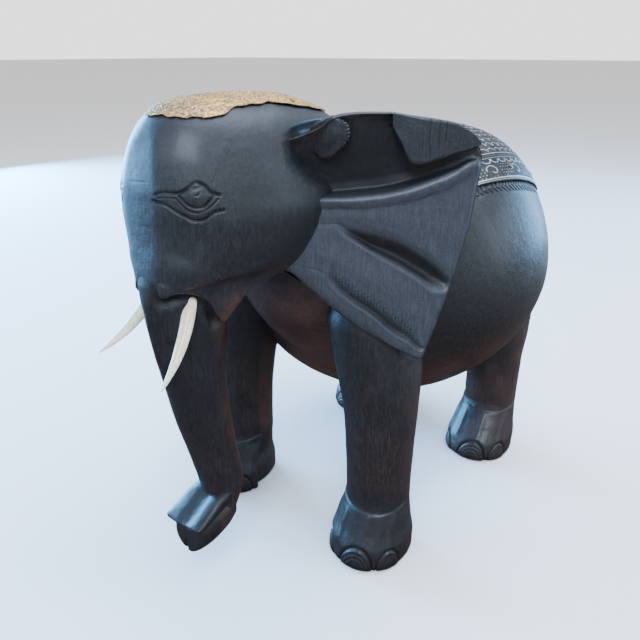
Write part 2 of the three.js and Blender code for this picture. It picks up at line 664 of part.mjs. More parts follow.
// everything between two places along the ear plane
const seamCut = (u0, u1) => {
  const slab = new THREE.BoxGeometry(u1 - u0, far, far);
  slab.translate((u0 + u1) / 2, 0, 0);
  slab.applyMatrix4(new THREE.Matrix4().makeRotationZ(EAR_SWEEP));
  slab.translate(EAR_FOOT.x, EAR_FOOT.y, 0);
  return manifoldOf(slab);
};
for (const side of ears) {
  // drawn on the left, with the leg of its own side cut out behind it
  const { x, y, front } = LEGS[`front_${side}`];
  const behind = manifoldOf(leg({ x: Math.abs(x), y, front }, GAP));
  const board = manifoldOf(ear()).subtract(grown).subtract(behind).subtract(holes);
  const sided = (solid) => (side === 'left' ? geometryOf(solid) : mirrored(geometryOf(solid)));
  const inner = board.intersect(seamCut(-far, EAR_SEAM - GAP / 2));
  const outer = board.intersect(seamCut(EAR_SEAM + GAP / 2, far));
  place(`${side}_ear_inner_board`, sided(mainBody(inner)), WOOD);
  place(`${side}_ear_outer_board`, sided(mainBody(outer)), WOOD);
  place(`${side}_tusk`, sided(manifoldOf(horn(side, 0)).add(manifoldOf(tenon(side, 0)))), IVORY);
}
place('tail', geometryOf(mainBody(manifoldOf(tail()).subtract(grown).subtract(holes))), WOOD);
const laid = (shape) => geometryOf(mainBody(manifoldOf(shape).subtract(grown).subtract(tackHoles)));
place('crown_sheet', laid(crownSheet()), BRASS);
place('saddle_cloth', laid(saddleSheet()), PEWTER);
for (const [name, at, along, size] of DOWELS) {
  place(name, pin(at, along, size.radius, size.half), DOWEL_WOOD);
}
for (const { name, at, out } of TACKS) place(name, tack(at, out), BRASS);

// the origin is under the middle of the whole object
const whole = new THREE.Box3().setFromObject(object, true);
object.position.set(-(whole.min.x + whole.max.x) / 2, -(whole.min.y + whole.max.y) / 2, 0);

export default object;
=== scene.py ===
# %% [markdown]
# A carved wooden elephant, built around its packed frame.
# The frame says where every part is, so each new surface here is worked out in the same
# measures and laid over the plain solid that it stands for.
# %% Load the frame
import math

import bpy
import numpy as np
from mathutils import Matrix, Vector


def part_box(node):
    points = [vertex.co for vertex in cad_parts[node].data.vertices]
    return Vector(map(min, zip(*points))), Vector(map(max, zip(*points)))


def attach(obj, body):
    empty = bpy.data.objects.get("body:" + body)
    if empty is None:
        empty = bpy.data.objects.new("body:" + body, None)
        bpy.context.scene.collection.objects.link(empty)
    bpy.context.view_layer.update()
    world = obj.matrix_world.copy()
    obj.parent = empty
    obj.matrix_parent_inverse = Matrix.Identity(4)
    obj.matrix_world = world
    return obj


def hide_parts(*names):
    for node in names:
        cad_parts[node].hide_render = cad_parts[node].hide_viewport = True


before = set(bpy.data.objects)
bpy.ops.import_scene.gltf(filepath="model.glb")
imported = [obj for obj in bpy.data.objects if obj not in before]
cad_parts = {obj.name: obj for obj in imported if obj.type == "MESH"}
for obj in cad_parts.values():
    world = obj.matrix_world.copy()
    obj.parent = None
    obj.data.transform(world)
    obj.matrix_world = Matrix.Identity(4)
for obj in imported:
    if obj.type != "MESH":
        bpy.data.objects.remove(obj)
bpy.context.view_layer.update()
print("nodes in the frame:", len(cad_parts))

# %% [markdown]
# The camera comes first, because it decides how fine each surface has to be.
# It stands to the elephant's left front and a little above its eyes, and it looks down slightly.
# %% Camera
camera = bpy.data.objects.new("camera", bpy.data.cameras.new("camera"))
bpy.context.scene.collection.objects.link(camera)
bpy.context.scene.camera = camera
camera.location = (0.4547, -0.6270, 0.5320)
camera.rotation_euler = (math.radians(68.2), 0, math.radians(38.5))
camera.data.sensor_width = 36
camera.data.lens = 37.97
print("camera at", tuple(round(c, 3) for c in camera.location))

# %% [markdown]
# Every surface is worked out in millimetres in the carver's own frame: the ground between the
# feet is zero, the head points along -Y and the elephant's left is +X.
# The frame's own origin is the middle of its box, so one shift along Y joins the two.
# %% Measures
MM = 0.001
BARREL = {"y": 58, "z": 285.5, "wide": 190, "long": 206, "high": 168.5}
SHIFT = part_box("body")[1].y / MM - (BARREL["y"] + BARREL["long"])
UP, deg = np.pi / 2, np.pi / 180
SIDES = {"left": 1, "right": -1}
print("shift along Y, mm:", round(SHIFT, 2))

# %% [markdown]
# A few helpers draw smooth lines. A carved edge is seldom a formula, so it is given by some
# points, and a cubic that never overshoots fills in between them.
# %% Lines through points


def curve(table, at):
    """Columns of a table against its first column, as cubics with the harmonic mean slope."""
    table = np.asarray(table, float)
    xs, ys = table[:, 0], table[:, 1:]
    step = np.diff(xs)[:, None]
    slope = np.diff(ys, axis=0) / step
    both = slope[:-1] * slope[1:]
    mean = np.where(both > 0, 2 * both / np.where(both > 0, slope[:-1] + slope[1:], 1), 0)
    m = np.vstack([slope[:1], mean, slope[-1:]])
    at = np.asarray(at, float)
    i = np.clip(np.searchsorted(xs, at, side="right") - 1, 0, len(xs) - 2)
    h = step[i]
    t = (np.clip(at, xs[0], xs[-1]) - xs[i])[..., None] / h
    a = (1 + 2 * t) * (1 - t) ** 2 * ys[i] + t * (1 - t) ** 2 * h * m[i]
    return a + t * t * (3 - 2 * t) * ys[i + 1] + t * t * (t - 1) * h * m[i + 1]


def line(points, shares):
    """A smooth line through the points, read at shares of its length."""
    points = np.asarray(points, float)
    gone = np.cumsum(np.r_[0, np.linalg.norm(np.diff(points, axis=0), axis=1)])
    return curve(np.c_[gone / gone[-1], points], shares)


def columns(table, at):
    """The same cubics with one array for each column."""
    return np.moveaxis(curve(table, at), -1, 0)


def xyz(x, y, z):
    """Points from three arrays of coordinates, stretched to one shape."""
    return np.stack(np.broadcast_arrays(x, y, z), -1)


def full_turn(count):
    """One row of angles round a full turn, without its end."""
    return np.linspace(0, 2 * np.pi, count, endpoint=False)[None]


def ridge(distance, wide):
    """1 where the distance is 0, falling as a bell to about a third at wide."""
    return np.exp(-((distance / wide) ** 2))


def steps(*runs):
    """Numbers in order, from runs of (start, end, how many), each without its end."""
    return np.concatenate([np.linspace(a, b, n, endpoint=False) for a, b, n in runs])


def rise(x, low, high):
    """0 below low, 1 above high, and a smooth step between."""
    t = np.clip((x - low) / (high - low), 0, 1)
    return t * t * (3 - 2 * t)


def fade(x, low, high):
    """1 below low, 0 above high, and a smooth step between."""
    return 1 - rise(x, low, high)


def signed(x, power):
    """x to a power, with its sign kept."""
    return np.sign(x) * np.abs(x) ** power


def away(points, path):
    """Distance from each point to the nearest place on a path of straight pieces."""
    best = np.full(points.shape[:-1], 1e9)
    for a, b in zip(path[:-1], path[1:]):
        along = np.clip(((points - a) @ (b - a)) / max((b - a) @ (b - a), 1e-9), 0, 1)
        best = np.minimum(best, np.linalg.norm(points - a - along[..., None] * (b - a), axis=-1))
    return best


def waves(points, size, seed):
    """A slow unevenness from -1 to 1: the mean of six sine waves in random directions."""
    draw = np.random.default_rng(seed)
    ways = draw.normal(size=(6, 3))
    ways /= np.linalg.norm(ways, axis=1)[:, None]
    turns = points @ ways.T * (2 * np.pi / (size * draw.uniform(0.7, 1.5, 6)))
    return np.sin(turns + draw.uniform(0, 6.28, 6)).mean(-1)


print("half way up a bend:", line([(0, 0), (1, 1), (3, 1)], np.array([0.5])).round(2))

# %% [markdown]
# A closed skin is rings of points joined up, with a pole at each end. A slab is a front and a
# back sheet on the same grid, which meet along their edges.
# Both are turned so that the volume they enclose is positive, which makes every face look out.
# %% Skins and slabs


def normals(grid, wraps=True):
    """Unit normals of a grid, from the cross product of its two running differences."""
    if wraps:
        around = np.roll(grid, -1, 1) - np.roll(grid, 1, 1)
    else:
        around = np.gradient(grid, axis=1)
    n = np.cross(around, np.gradient(grid, axis=0))
    n /= np.maximum(np.linalg.norm(n, axis=-1), 1e-9)[..., None]
    middle = grid.reshape(-1, 3).mean(0)
    return n * (1 if ((grid - middle) * n).sum() > 0 else -1)


def ring_faces(rows, cols):
    """Quads between rings and two fans of triangles to the poles."""
    i = np.arange(rows - 1)[:, None] * cols
    j = np.arange(cols)[None]
    k = (j + 1) % cols
    quads = np.stack([i + j, i + k, i + cols + k, i + cols + j], -1).reshape(-1, 4)
    j, k = j[0], k[0]
    last = (rows - 1) * cols
    top = np.stack([k, j, np.full(cols, rows * cols)], -1)
    end = np.stack([j + last, k + last, np.full(cols, rows * cols + 1)], -1)
    return quads, np.vstack([top, end])


def skin(name, grid, finish, body="carving", slot="ebony_wood", stands_for=(), **marks):
    """A closed piece from rings of points in mm; marks are numbers per point for its finish."""
    rows, cols = grid.shape[:2]
    points = np.vstack([grid.reshape(-1, 3), grid[0].mean(0), grid[-1].mean(0)])
    points = (points + [0, SHIFT, 0]) * MM
    quads, fans = ring_faces(rows, cols)
    tris = np.vstack([quads[:, :3], quads[:, [0, 2, 3]], fans])
    a, b, c = (points[tris[:, n]] for n in range(3))
    if (a * np.cross(b, c)).sum() < 0:
        quads, fans = quads[:, ::-1], fans[:, ::-1]
    mesh = bpy.data.meshes.new(name)
    mesh.from_pydata(points.tolist(), [], quads.tolist() + fans.tolist())
    for mark, values in marks.items():
        values = values.reshape(-1)
        values = np.r_[values, values[:1], values[-1:]].astype(np.float32)
        mesh.attributes.new(mark, "FLOAT", "POINT").data.foreach_set("value", values)
    mesh.shade_smooth()
    mesh.materials.append(finish)
    piece = bpy.data.objects.new(name, mesh)
    bpy.context.scene.collection.objects.link(piece)
    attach(piece, body)
    if stands_for:
        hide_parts(*stands_for)
    print(f"{name}: {len(quads) * 2 + len(fans)} triangles")
    return piece


def slab_rings(front, back):
    """Rings round a slab: a front row, then its back row reversed; both ends pinched shut."""
    rings = np.concatenate([front, back[:, ::-1]], 1)
    middle = (front + back) / 2
    pinch = np.concatenate([middle, middle[:, ::-1]], 1)
    return np.concatenate([pinch[:1], rings, pinch[-1:]], 0)


def slab_mark(front, back=None):
    """A mark for slab_rings: the front's numbers, and zero on the back."""
    both = np.concatenate([front, np.zeros_like(front) if back is None else back[:, ::-1]], 1)
    return np.concatenate([both[:1], both, both[-1:]], 0)


print("faces of a 4 by 6 skin:", sum(len(f) for f in ring_faces(4, 6)))

# %% [markdown]
# Finishes are written as sums. Wire wraps a number that travels through a material, and the
# plus, minus and times signs on it lay down the Math nodes.
# Nodes lays down any other node through one method: type, settings, then sockets. A Finish is
# a material written that way.
# %% Shader writing


class Wire:
    """A number or colour on its way through a material."""

    def __init__(self, nodes, socket):
        self.nodes, self.socket = nodes, socket

    def math(self, kind, first, second):
        return self.nodes.node("ShaderNodeMath", {"operation": kind}, {0: first, 1: second})

    def __add__(self, other):
        return self.math("ADD", self, other)

    def __sub__(self, other):
        return self.math("SUBTRACT", self, other)

    def __rsub__(self, other):
        return self.math("SUBTRACT", other, self)

    def __mul__(self, other):
        return self.math("MULTIPLY", self, other)

    __radd__ = __add__
    __rmul__ = __mul__

    def between(self, low, high):
        """0 below low, 1 above high."""
        sockets = {"Value": self, "From Min": low, "From Max": high}
        settings = {"interpolation_type": "SMOOTHSTEP"}
        return self.nodes.node("ShaderNodeMapRange", settings, sockets)


class Nodes:
    """A node tree, with its nodes laid down by node()."""

    def __init__(self, tree):
        self.tree = tree

    def node(self, kind, settings=None, sockets=None, out=0):
        """A node of that kind; stops are a colour ramp's."""
        made = self.tree.nodes.new(kind)
        for name, value in (settings or {}).items():
            if name == "stops":
                self.stops(made.color_ramp, value)
            else:
                setattr(made, name, value)
        for name, value in (sockets or {}).items():
            self.plug(made.inputs[name], value)
        return Wire(self, made.outputs[out])

    def stops(self, ramp, stops):
        """Places and colours of a ramp."""
        while len(ramp.elements) < len(stops):
            ramp.elements.new(0.5)
        for element, (place, colour) in zip(ramp.elements, stops):
            element.position = place
            element.color = (*colour, 1)

    def plug(self, socket, value):
        """Links a wire to a socket, or sets a plain value on it."""
        if isinstance(value, Wire):
            self.tree.links.new(value.socket, socket)
        else:
            socket.default_value = value


class Finish(Nodes):
    """One material and the nodes that finishes are written with."""

    def __init__(self, name):
        self.material = bpy.data.materials.new(name)
        self.material.use_nodes = True
        super().__init__(self.material.node_tree)
        self.surface = self.tree.nodes["Principled BSDF"]

    def mix(self, share, first, second):
        """A colour between two colours; plain colours are three numbers."""
        pair = [c if isinstance(c, Wire) else (*c, 1) for c in (first, second)]
        sockets = {0: share, 6: pair[0], 7: pair[1]}
        return self.node("ShaderNodeMix", {"data_type": "RGBA"}, sockets, out=2)

    def place(self, scale=(1, 1, 1)):
        """Object coordinates in metres, stretched by a scale."""
        own = self.node("ShaderNodeTexCoord", out="Object")
        return self.node("ShaderNodeMapping", {}, {"Vector": own, "Scale": scale})

    def noise(self, place, size, detail=3, rough=0.55):
        """Cloudy noise whose clouds are about size metres across."""
        sockets = {"Vector": place, "Scale": 1 / size, "Detail": detail, "Roughness": rough}
        return self.node("ShaderNodeTexNoise", {}, sockets)

    def mark(self, name):
        """A number that the piece carries at each point."""
        return self.node("ShaderNodeAttribute", {"attribute_name": name}, out="Fac")

    def dress(self, **sockets):
        """The surface's own sockets, by their names with _ for a space."""
        for name, value in sockets.items():
            self.plug(self.surface.inputs[name.replace("_", " ")], value)
        return self.material

    def bump(self, height, strength, depth):
        """A normal that tilts as if the surface rose by height times depth metres."""
        sockets = {"Height": height, "Strength": strength, "Distance": depth}
        return self.node("ShaderNodeBump", {}, sockets)


print("shader helpers:", [n for n in vars(Finish) if not n.startswith("_")])

# %% [markdown]
# Dark polished wood is drawn by what it reflects, so the lights are large and soft.
# Cool windows stand at the elephant's right and far behind it, and weaker ones fill from
# the front.
# %% Lights
LOOK_AT = (0, 0, 0.25)


def softbox(name, place, size, power, colour):
    """A rectangular light that looks at the middle of the elephant."""
    lamp = bpy.data.lights.new(name, "AREA")
    lamp.shape = "RECTANGLE"
    lamp.size, lamp.size_y = size
    lamp.energy = power
    lamp.color = colour
    thing = bpy.data.objects.new(name, lamp)
    bpy.context.scene.collection.objects.link(thing)
    thing.location = place
    back = np.array(place) - np.array(LOOK_AT)
    flat = math.hypot(back[0], back[1])
    thing.rotation_euler = (math.atan2(flat, back[2]), 0, math.atan2(back[0], -back[1]))
    return thing


softbox("window", (-2.7, 0.1, 0.8), (2.1, 1.4), 430, (0.16, 0.52, 1.0))
softbox("window_front", (-1.9, -1.7, 0.75), (1.2, 1.1), 66, (0.20, 0.52, 1.0))
softbox("front", (1.2, -1.7, 2.3), (1.2, 1.0), 92, (0.66, 0.80, 1.0))
softbox("sky", (0.3, 0.5, 2.5), (2.0, 1.8), 105, (0.66, 0.81, 1.0))
softbox("far_window", (0.75, 2.6, 0.6), (0.8, 1.2), 46, (0.24, 0.56, 1.0))
softbox("door", (2.2, 1.5, 1.1), (1.3, 1.3), 20, (0.60, 0.80, 1.0))

# %% [markdown]
# The backdrop is white to the eye and softer to the wood. The polish mirrors another room, warm
# and dark below and cool at eye level, and it doesn't mirror the floor.
# %% Backdrop and floor
FILL, SEEN = 1.1, 2.2
MIRRORED = 0.75
WALLS = [(0.05, (0.12, 0.07, 0.05)), (0.18, (0.18, 0.12, 0.10)), (0.30, (0.28, 0.27, 0.28)),
         (0.43, (0.70, 0.77, 0.88)), (0.62, (1.00, 1.10, 1.25)), (0.82, (0.60, 0.68, 0.80)),
         (1.0, (0.5, 0.57, 0.66))]
FLOOR = 40
bpy.context.scene.world = bpy.data.worlds.new("room")
bpy.context.scene.world.use_nodes = True
room = Nodes(bpy.context.scene.world.node_tree)
seen = room.node("ShaderNodeLightPath", out="Is Camera Ray")
polish = room.node("ShaderNodeLightPath", out="Is Glossy Ray")
looking = room.node("ShaderNodeTexCoord", out="Generated")
upward = room.node("ShaderNodeSeparateXYZ", {}, {"Vector": looking}, out="Z")
walls = room.node("ShaderNodeValToRGB", {"stops": WALLS}, {"Fac": upward * 0.5 + 0.5})
strength = seen * (SEEN - FILL) + FILL
open_air = room.node("ShaderNodeBackground", {}, {"Color": (1, 1, 1, 1), "Strength": strength})
mirror = room.node("ShaderNodeBackground", {}, {"Color": walls, "Strength": MIRRORED})
either = room.node("ShaderNodeMixShader", {}, {"Fac": polish, 1: open_air, 2: mirror})
room.plug(room.tree.nodes["World Output"].inputs["Surface"], either)

corners = [(x * FLOOR, y * FLOOR, 0) for x, y in ((-1, -1), (1, -1), (1, 1), (-1, 1))]
floor_mesh = bpy.data.meshes.new("floor")
floor_mesh.from_pydata(corners, [], [(0, 1, 2, 3)])
floor_paint = Finish("pale_floor").dress(Base_Color=(0.86, 0.86, 0.87, 1), Roughness=0.9)
floor_mesh.materials.append(floor_paint)
floor = bpy.data.objects.new("floor", floor_mesh)
bpy.context.scene.collection.objects.link(floor)
floor.visible_glossy = False
print("room nodes:", len(room.tree.nodes))

# %% [markdown]
# The wood is a hardwood stained almost black and waxed. Its black wears to red-brown low on the
# legs, and the same red-brown is painted on the undersides as a painted reflection of a warm
# floor.
# A fine upright grain breaks the gloss.
# Cuts made after staining show paler wood along their lips.
# %% Stained wood
STAIN = (0.0055, 0.0058, 0.0070), (0.013, 0.0125, 0.0140)
# red-brown of worn wood, also used as the painted reflection of a warm floor
WORN_AND_REFLECTED_BROWN = (0.030, 0.0095, 0.0055), (0.080, 0.025, 0.012)
# grey of real dust specks, and a bluish grey painted as a sheen mixed with dust
DUST, SHEEN_AND_DUST_BLUE = (0.055, 0.058, 0.064), (0.072, 0.084, 0.108)
# near black painted into grooves and hollows as painted shade, and the pale raw wood of chips
RECESS_SHADE_BLACK, RAW_WOOD = (0.004, 0.0035, 0.0035), (0.23, 0.075, 0.055)
TOOL_MARKS = 130.0  # in a metre


def stained_wood(name, grain_way=(1, 1, 0.09), brown=1.0):
    """Black stain over red-brown wood, in streaks that run where grain_way is small."""
    wood = Finish(name)
    streaks = wood.noise(wood.place(grain_way), 0.0016, 4, 0.6)
    clouds = wood.noise(wood.place(), 0.05, 3, 0.6)
    dust = wood.noise(wood.place(), 0.0012, 2, 0.7)
    nicks = wood.noise(wood.place(), 0.006, 5, 0.75)
    cut = wood.mark("cut")
    facing = wood.node("ShaderNodeNewGeometry", out="Normal")
    tilt = wood.node("ShaderNodeSeparateXYZ", {}, {"Vector": facing}, out="Z")
    own = wood.node("ShaderNodeTexCoord", out="Object")
    height = wood.node("ShaderNodeSeparateXYZ", {}, {"Vector": own}, out="Z")
    # painted reflection: faces that look down take the red-brown, standing in for a warm floor
    # seen in the polish
    under = (0 - tilt).between(0.15, 0.85)
    low = (0 - height).between(-0.34, -0.05) * height.between(0.05, 0.12)
    patchy = clouds.between(0.25, 0.75) * 0.7 + 0.25
    # the warm marks are mostly a painted reflection of a warm floor on undersides and backs; the
    # low band is wear
    wear_and_floor_reflection = (under * 0.8 + low * 0.15 + wood.mark("warm")) * patchy * brown
    wear_and_floor_reflection = wear_and_floor_reflection.between(0.0, 1.1)
    stain = wood.mix(streaks.between(0.35, 0.75), *STAIN)
    # bare: worn red-brown wood, also the painted reflection of a warm floor
    bare = wood.mix(streaks.between(0.30, 0.70), *WORN_AND_REFLECTED_BROWN)
    base = wood.mix(wear_and_floor_reflection * 0.8, stain, bare)
    base = wood.mix(dust.between(0.58, 0.80) * 0.30, base, DUST)
    # painted sheen: the bluish grey stands in for a cool sheen on the skull and ear folds, mixed
    # with some dust
    sheen_and_dust = wood.mark("dusty") * (dust * 0.7 + streaks * 0.5)
    base = wood.mix(sheen_and_dust.between(0.0, 1.3), base, SHEEN_AND_DUST_BLUE)
    # painted shade: grooves, gouges, hollows and gaps are painted near black
    base = wood.mix(cut.between(0.15, 0.9), base, RECESS_SHADE_BLACK)
    base = wood.mix(wood.mark("bare").between(0.2, 0.9), base, RAW_WOOD)
    gloss = (streaks + clouds + nicks + wear_and_floor_reflection + wood.mark("dusty") + wood.mark("matt")) * 0.12
    gloss = gloss + dust * 0.22 + cut * 0.40 + 0.10
    sockets = {"Vector": wood.place(), "Scale": TOOL_MARKS}
    cells = wood.node("ShaderNodeTexVoronoi", {"feature": "SMOOTH_F1"}, sockets)
    relief = streaks * 0.5 + dust * 0.6 + cells * 0.9 + nicks * 1.4
    normal = wood.bump(relief, 0.7, 0.0006)
    wax = (1 - cut) * 0.2
    return wood.dress(Base_Color=base, Roughness=gloss, Normal=normal, IOR=1.46,
                      Coat_Weight=wax, Coat_Roughness=0.28)


EBONY = stained_wood("ebony_upright_grain")
EBONY_LENGTHWISE = stained_wood("ebony_lengthwise_grain", (1, 0.09, 1))
print("wood finishes:", EBONY.name, EBONY_LENGTHWISE.name)

# %% [markdown]
# The tusks are cream, yellower and streaked along their length. The crown is thin brass,
# hammered and gone brown in its pits. The saddle sheet is pewter, dark between its raised lines.
# %% Tusk, brass and pewter


def tusk_cream():
    """Cream with fine yellow streaks along the tusk."""
    horn = Finish("tusk_cream_streaked")
    streak = horn.noise(horn.place((1, 1, 0.07)), 0.0014, 3, 0.6)
    cloud = horn.noise(horn.place(), 0.012, 2)
    base = horn.mix(streak.between(0.35, 0.72), (0.84, 0.78, 0.64), (0.60, 0.47, 0.27))
    base = horn.mix(horn.mark("stripe") * 0.55 + cloud * 0.15, base, (0.62, 0.45, 0.20))
    # painted shadow: the root is darkened where the lip shades it at the socket
    base = horn.mix(horn.mark("cut").between(0.1, 0.9), base, (0.20, 0.12, 0.07))
    normal = horn.bump(streak, 0.3, 0.0003)
    rough = streak * 0.2 + 0.22
    return horn.dress(Base_Color=base, Roughness=rough, Normal=normal, Coat_Weight=0.3)


def hammered_brass():
    """Brass with bright gold specks painted on as glints, and brown and grey in the pits."""
    brass = Finish("brass_hammered")
    cloud = brass.noise(brass.place(), 0.022, 3, 0.6)
    speck = brass.noise(brass.place(), 0.0017, 4, 0.75)
    pit = brass.mark("pit")
    base = brass.mix(cloud.between(0.38, 0.62), (0.78, 0.42, 0.12), (0.42, 0.22, 0.11))
    # painted highlight: bright gold specks stand in for glints on the hammered facets
    base = brass.mix(speck.between(0.50, 0.62) * 0.7, base, (1.0, 0.76, 0.38))
    base = brass.mix((1 - speck).between(0.50, 0.64) * 0.7, base, (0.16, 0.09, 0.06))
    base = brass.mix(pit.between(0.30, 0.9) * 0.45, base, (0.11, 0.065, 0.055))
    rough = pit * 0.25 + speck * 0.3 + 0.20
    normal = brass.bump(speck, 0.8, 0.0008)
    return brass.dress(Base_Color=base, Metallic=0.92, Roughness=rough, Normal=normal)


def dark_pewter():
    """Pewter with silver on the raised lines and a dark, rough ground between."""
    tin = Finish("pewter_embossed")
    cloud = tin.noise(tin.place(), 0.016, 3, 0.6)
    speck = tin.noise(tin.place(), 0.0018, 2, 0.7)
    raised = tin.mark("raised")
    base = tin.mix(cloud.between(0.35, 0.7), (0.026, 0.028, 0.032), (0.07, 0.062, 0.057))
    base = tin.mix(speck.between(0.57, 0.75) * 0.6, base, (0.17, 0.165, 0.16))
    base = tin.mix(raised.between(0.35, 0.8), base, (0.78, 0.77, 0.75))
    rough = speck * 0.25 - raised * 0.12 + 0.40
    normal = tin.bump(speck, 0.4, 0.0004)
    return tin.dress(Base_Color=base, Metallic=0.85, Roughness=rough, Normal=normal)


TUSK_CREAM, BRASS, PEWTER = tusk_cream(), hammered_brass(), dark_pewter()
print("other finishes:", TUSK_CREAM.name, BRASS.name, PEWTER.name)

# %% [markdown]
# The barrel is one long egg, a little squared over the back where the saddle lies.
# Its grid is fine only beside the saddle, where a fringe of slanted chip cuts is sunk into it.
# %% Barrel
BACK = {"y": 95, "reach": 100, "square": 0.8}
SADDLE = {"front": -25, "rear": 150, "sag": 26, "angle_front": 0.80, "angle_rear": 1.0}
FRINGE_DEEP = 2.2


def barrel(turn, reach, lift=0.0):
    """An ellipsoid whose upper half is a superellipse near the middle of the back."""
    y = BARREL["y"] + (BARREL["long"] + lift) * np.sin(UP * reach)
    small = np.cos(UP * reach)
    over = np.maximum(0, 1 - ((y - BACK["y"]) / BACK["reach"]) ** 2)
    n = 2 + BACK["square"] * over * np.maximum(0, np.sin(turn)) ** 2
    x = (BARREL["wide"] + lift) * small * signed(np.cos(turn), 2 / n)
    z = BARREL["z"] + (BARREL["high"] + lift) * small * signed(np.sin(turn), 2 / n)
    return xyz(x, y, z)


def slots(at, wide):
    """Rows of slots: 1 in the middle of each whole step of at, 0 further off than wide."""
    return 1 - rise(np.abs(at % 1 - 0.5), wide * 0.6, wide)


def fringe(points, turn):
    """Two rows of slanted cuts under the saddle's side edges, as depths from 0 to 1."""
    along = (points[..., 1] - SADDLE["front"]) / (SADDLE["rear"] - SADDLE["front"])
    edge = SADDLE["angle_front"] + (SADDLE["angle_rear"] - SADDLE["angle_front"]) * along
    down = (np.abs((UP - turn + np.pi) % (2 * np.pi) - np.pi) - edge) * 176
    inside = rise(along, -0.01, 0.02) * fade(along, 0.98, 1.01)
    short = slots((points[..., 1] + 0.5 * down) / 5.0, 0.2) * rise(down, 0.4, 1.2)
    short *= 1 - rise(down, 3.6, 4.4)
    long = slots((points[..., 1] - 0.75 * down) / 6.5 + 0.3, 0.17) * rise(down, 5.0, 5.8)
    long *= 1 - rise(down, 11.5, 12.5)
    line_cut = rise(down, -1.2, -0.6) * fade(down, 0.0, 0.5) * 0.7
    return np.maximum(np.maximum(short, long), line_cut) * inside


half = [(-1.06, -0.87, 42), (-0.87, 0.87, 62), (0.87, 1.06, 42), (1.06, 2 * np.pi - 1.06, 120)]
turn = (UP + steps(*half))[None]
reach = np.r_[steps((-0.995, -0.27, 44), (-0.27, 0.42, 190), (0.42, 0.995, 46)), 0.995][:, None]
surface = barrel(turn, reach)
out = normals(surface)
cuts = fringe(surface, turn)
uneven = 0.7 * waves(surface, 90, 3) + 0.25 * waves(surface, 34, 4)
surface = surface + out * (uneven - FRINGE_DEEP * cuts)[..., None]
# painted reflection: the belly is browned low down, standing in for a warm floor seen in the
# polish
belly_floor_reflection = 0.55 * fade(surface[..., 2], 150, 240)
front_brown = 0.5 * fade(surface[..., 1], -120, -40) * fade(surface[..., 2], 240, 330)
# the fringe cuts are painted near black as painted shade
skin("barrel_carved", surface, EBONY_LENGTHWISE, stands_for=("body",), cut=cuts,
     warm=belly_floor_reflection + front_brown)

# %% [markdown]
# The neck is a tapering run of ellipses. It starts inside the skull and ends inside the barrel,
# so the two carved lumps read as one.
# %% Neck
# y, half width, underside, top
NECK = [(-196, 24, 318, 428), (-190, 46, 298, 437), (-176, 68, 270, 443), (-150, 86, 236, 445),
        (-110, 100, 200, 443), (-40, 112, 168, 430), (40, 118, 160, 416)]
y = np.linspace(-196, 40, 90)[:, None]
wide, under, top = columns(NECK, y[:, 0])[..., None]
turn = full_turn(150)
surface = xyz(wide * np.cos(turn), y, (top + under + (top - under) * np.sin(turn)) / 2)
surface = surface + normals(surface) * (0.8 * waves(surface, 60, 5))[..., None]
# painted reflection: the throat is browned low down, standing in for a warm floor seen in the
# polish
warm = 1.1 * fade(surface[..., 2], 270, 360)
skin("neck_carved", surface, EBONY_LENGTHWISE, stands_for=("body", "head_and_trunk"), warm=warm)

# %% [markdown]
# The skull is a stack of superellipses that closes at the crown. Below the cheeks each column
# runs in to a carved lip, then turns under it.
# The eyes are gouged lines: a point close to one of their paths is pushed in.
# %% Skull
# z, front, rear, half width
SKULL = [(324, -325, -186, 52), (340, -331, -150, 59), (362, -333, -116, 72), (384, -333, -96, 81),
         (404, -333, -90, 85), (424, -333, -87, 81), (445, -330, -88, 74), (463, -324, -94, 66),
         (477, -315, -118, 56), (487, -301, -146, 43), (493, -280, -172, 28),
         (496.5, -227, -225, 0.6)]
SQUARE = 2.2
# y, half width and height of the cheek's lower lip
LIP = [(-333, 2, 337), (-331.5, 12, 339), (-328, 21, 341), (-321, 31, 342), (-312, 38, 338),
       (-300, 40, 328), (-288, 36, 313), (-277, 33, 303), (-268, 38, 314), (-260, 51, 333),
       (-241, 60, 341), (-213, 57, 343), (-150, 40, 346), (-120, 20, 348)]
# a path, its half width and its depth
EYE_LINES = {
    "brow": ([(19, -330, 425), (26, -327, 427), (35, -323, 427), (40, -319, 429), (43, -315, 432),
              (46, -311, 435), (49, -309, 434), (52, -306, 431), (55, -304, 427),
              (59, -299, 425)], 1.15, 2.4),
    "lid": ([(37, -322, 425), (39, -320, 427), (43, -316, 429.5), (47, -312, 431), (50, -308, 430),
             (53, -306, 427), (56, -303, 424)], 0.8, 1.3),
    "under": ([(37, -322, 425), (40, -320, 421), (44, -318, 417.5), (48, -314, 415.5),
               (51, -311, 416), (54, -308, 419), (56, -303, 424)], 1.0, 1.9),
    "pouch": ([(21, -330, 423), (34, -324, 423), (38, -322, 419), (43, -319, 413.5),
               (48, -315, 411.5), (52, -310, 412.5), (56, -306, 416.5),
               (59, -300, 422)], 0.7, 0.9),
    "cheek": ([(18, -331, 420), (26, -328, 418), (31, -326, 415), (37, -323, 411), (42, -320, 408),
               (47, -316, 405.5), (52, -312, 406), (55, -308, 409), (58, -304, 412),
               (62, -298, 413)], 1.15, 2.4),
    "pupil": ([(45, -314, 427), (46, -314, 425.3), (48, -313, 425.3),
               (49.5, -312, 427)], 0.65, 1.0),
}


def skull(turn, z, lift=0.0):
    """Superellipse rings between the front, rear and half width that the table gives at z."""
    front, rear, wide = columns(SKULL, z)
    x = (wide + lift) * signed(np.cos(turn), 2 / SQUARE)
    y = (front + rear) / 2 + ((rear - front) / 2 + lift) * signed(np.sin(turn), 2 / SQUARE)
    return xyz(x, y, z)


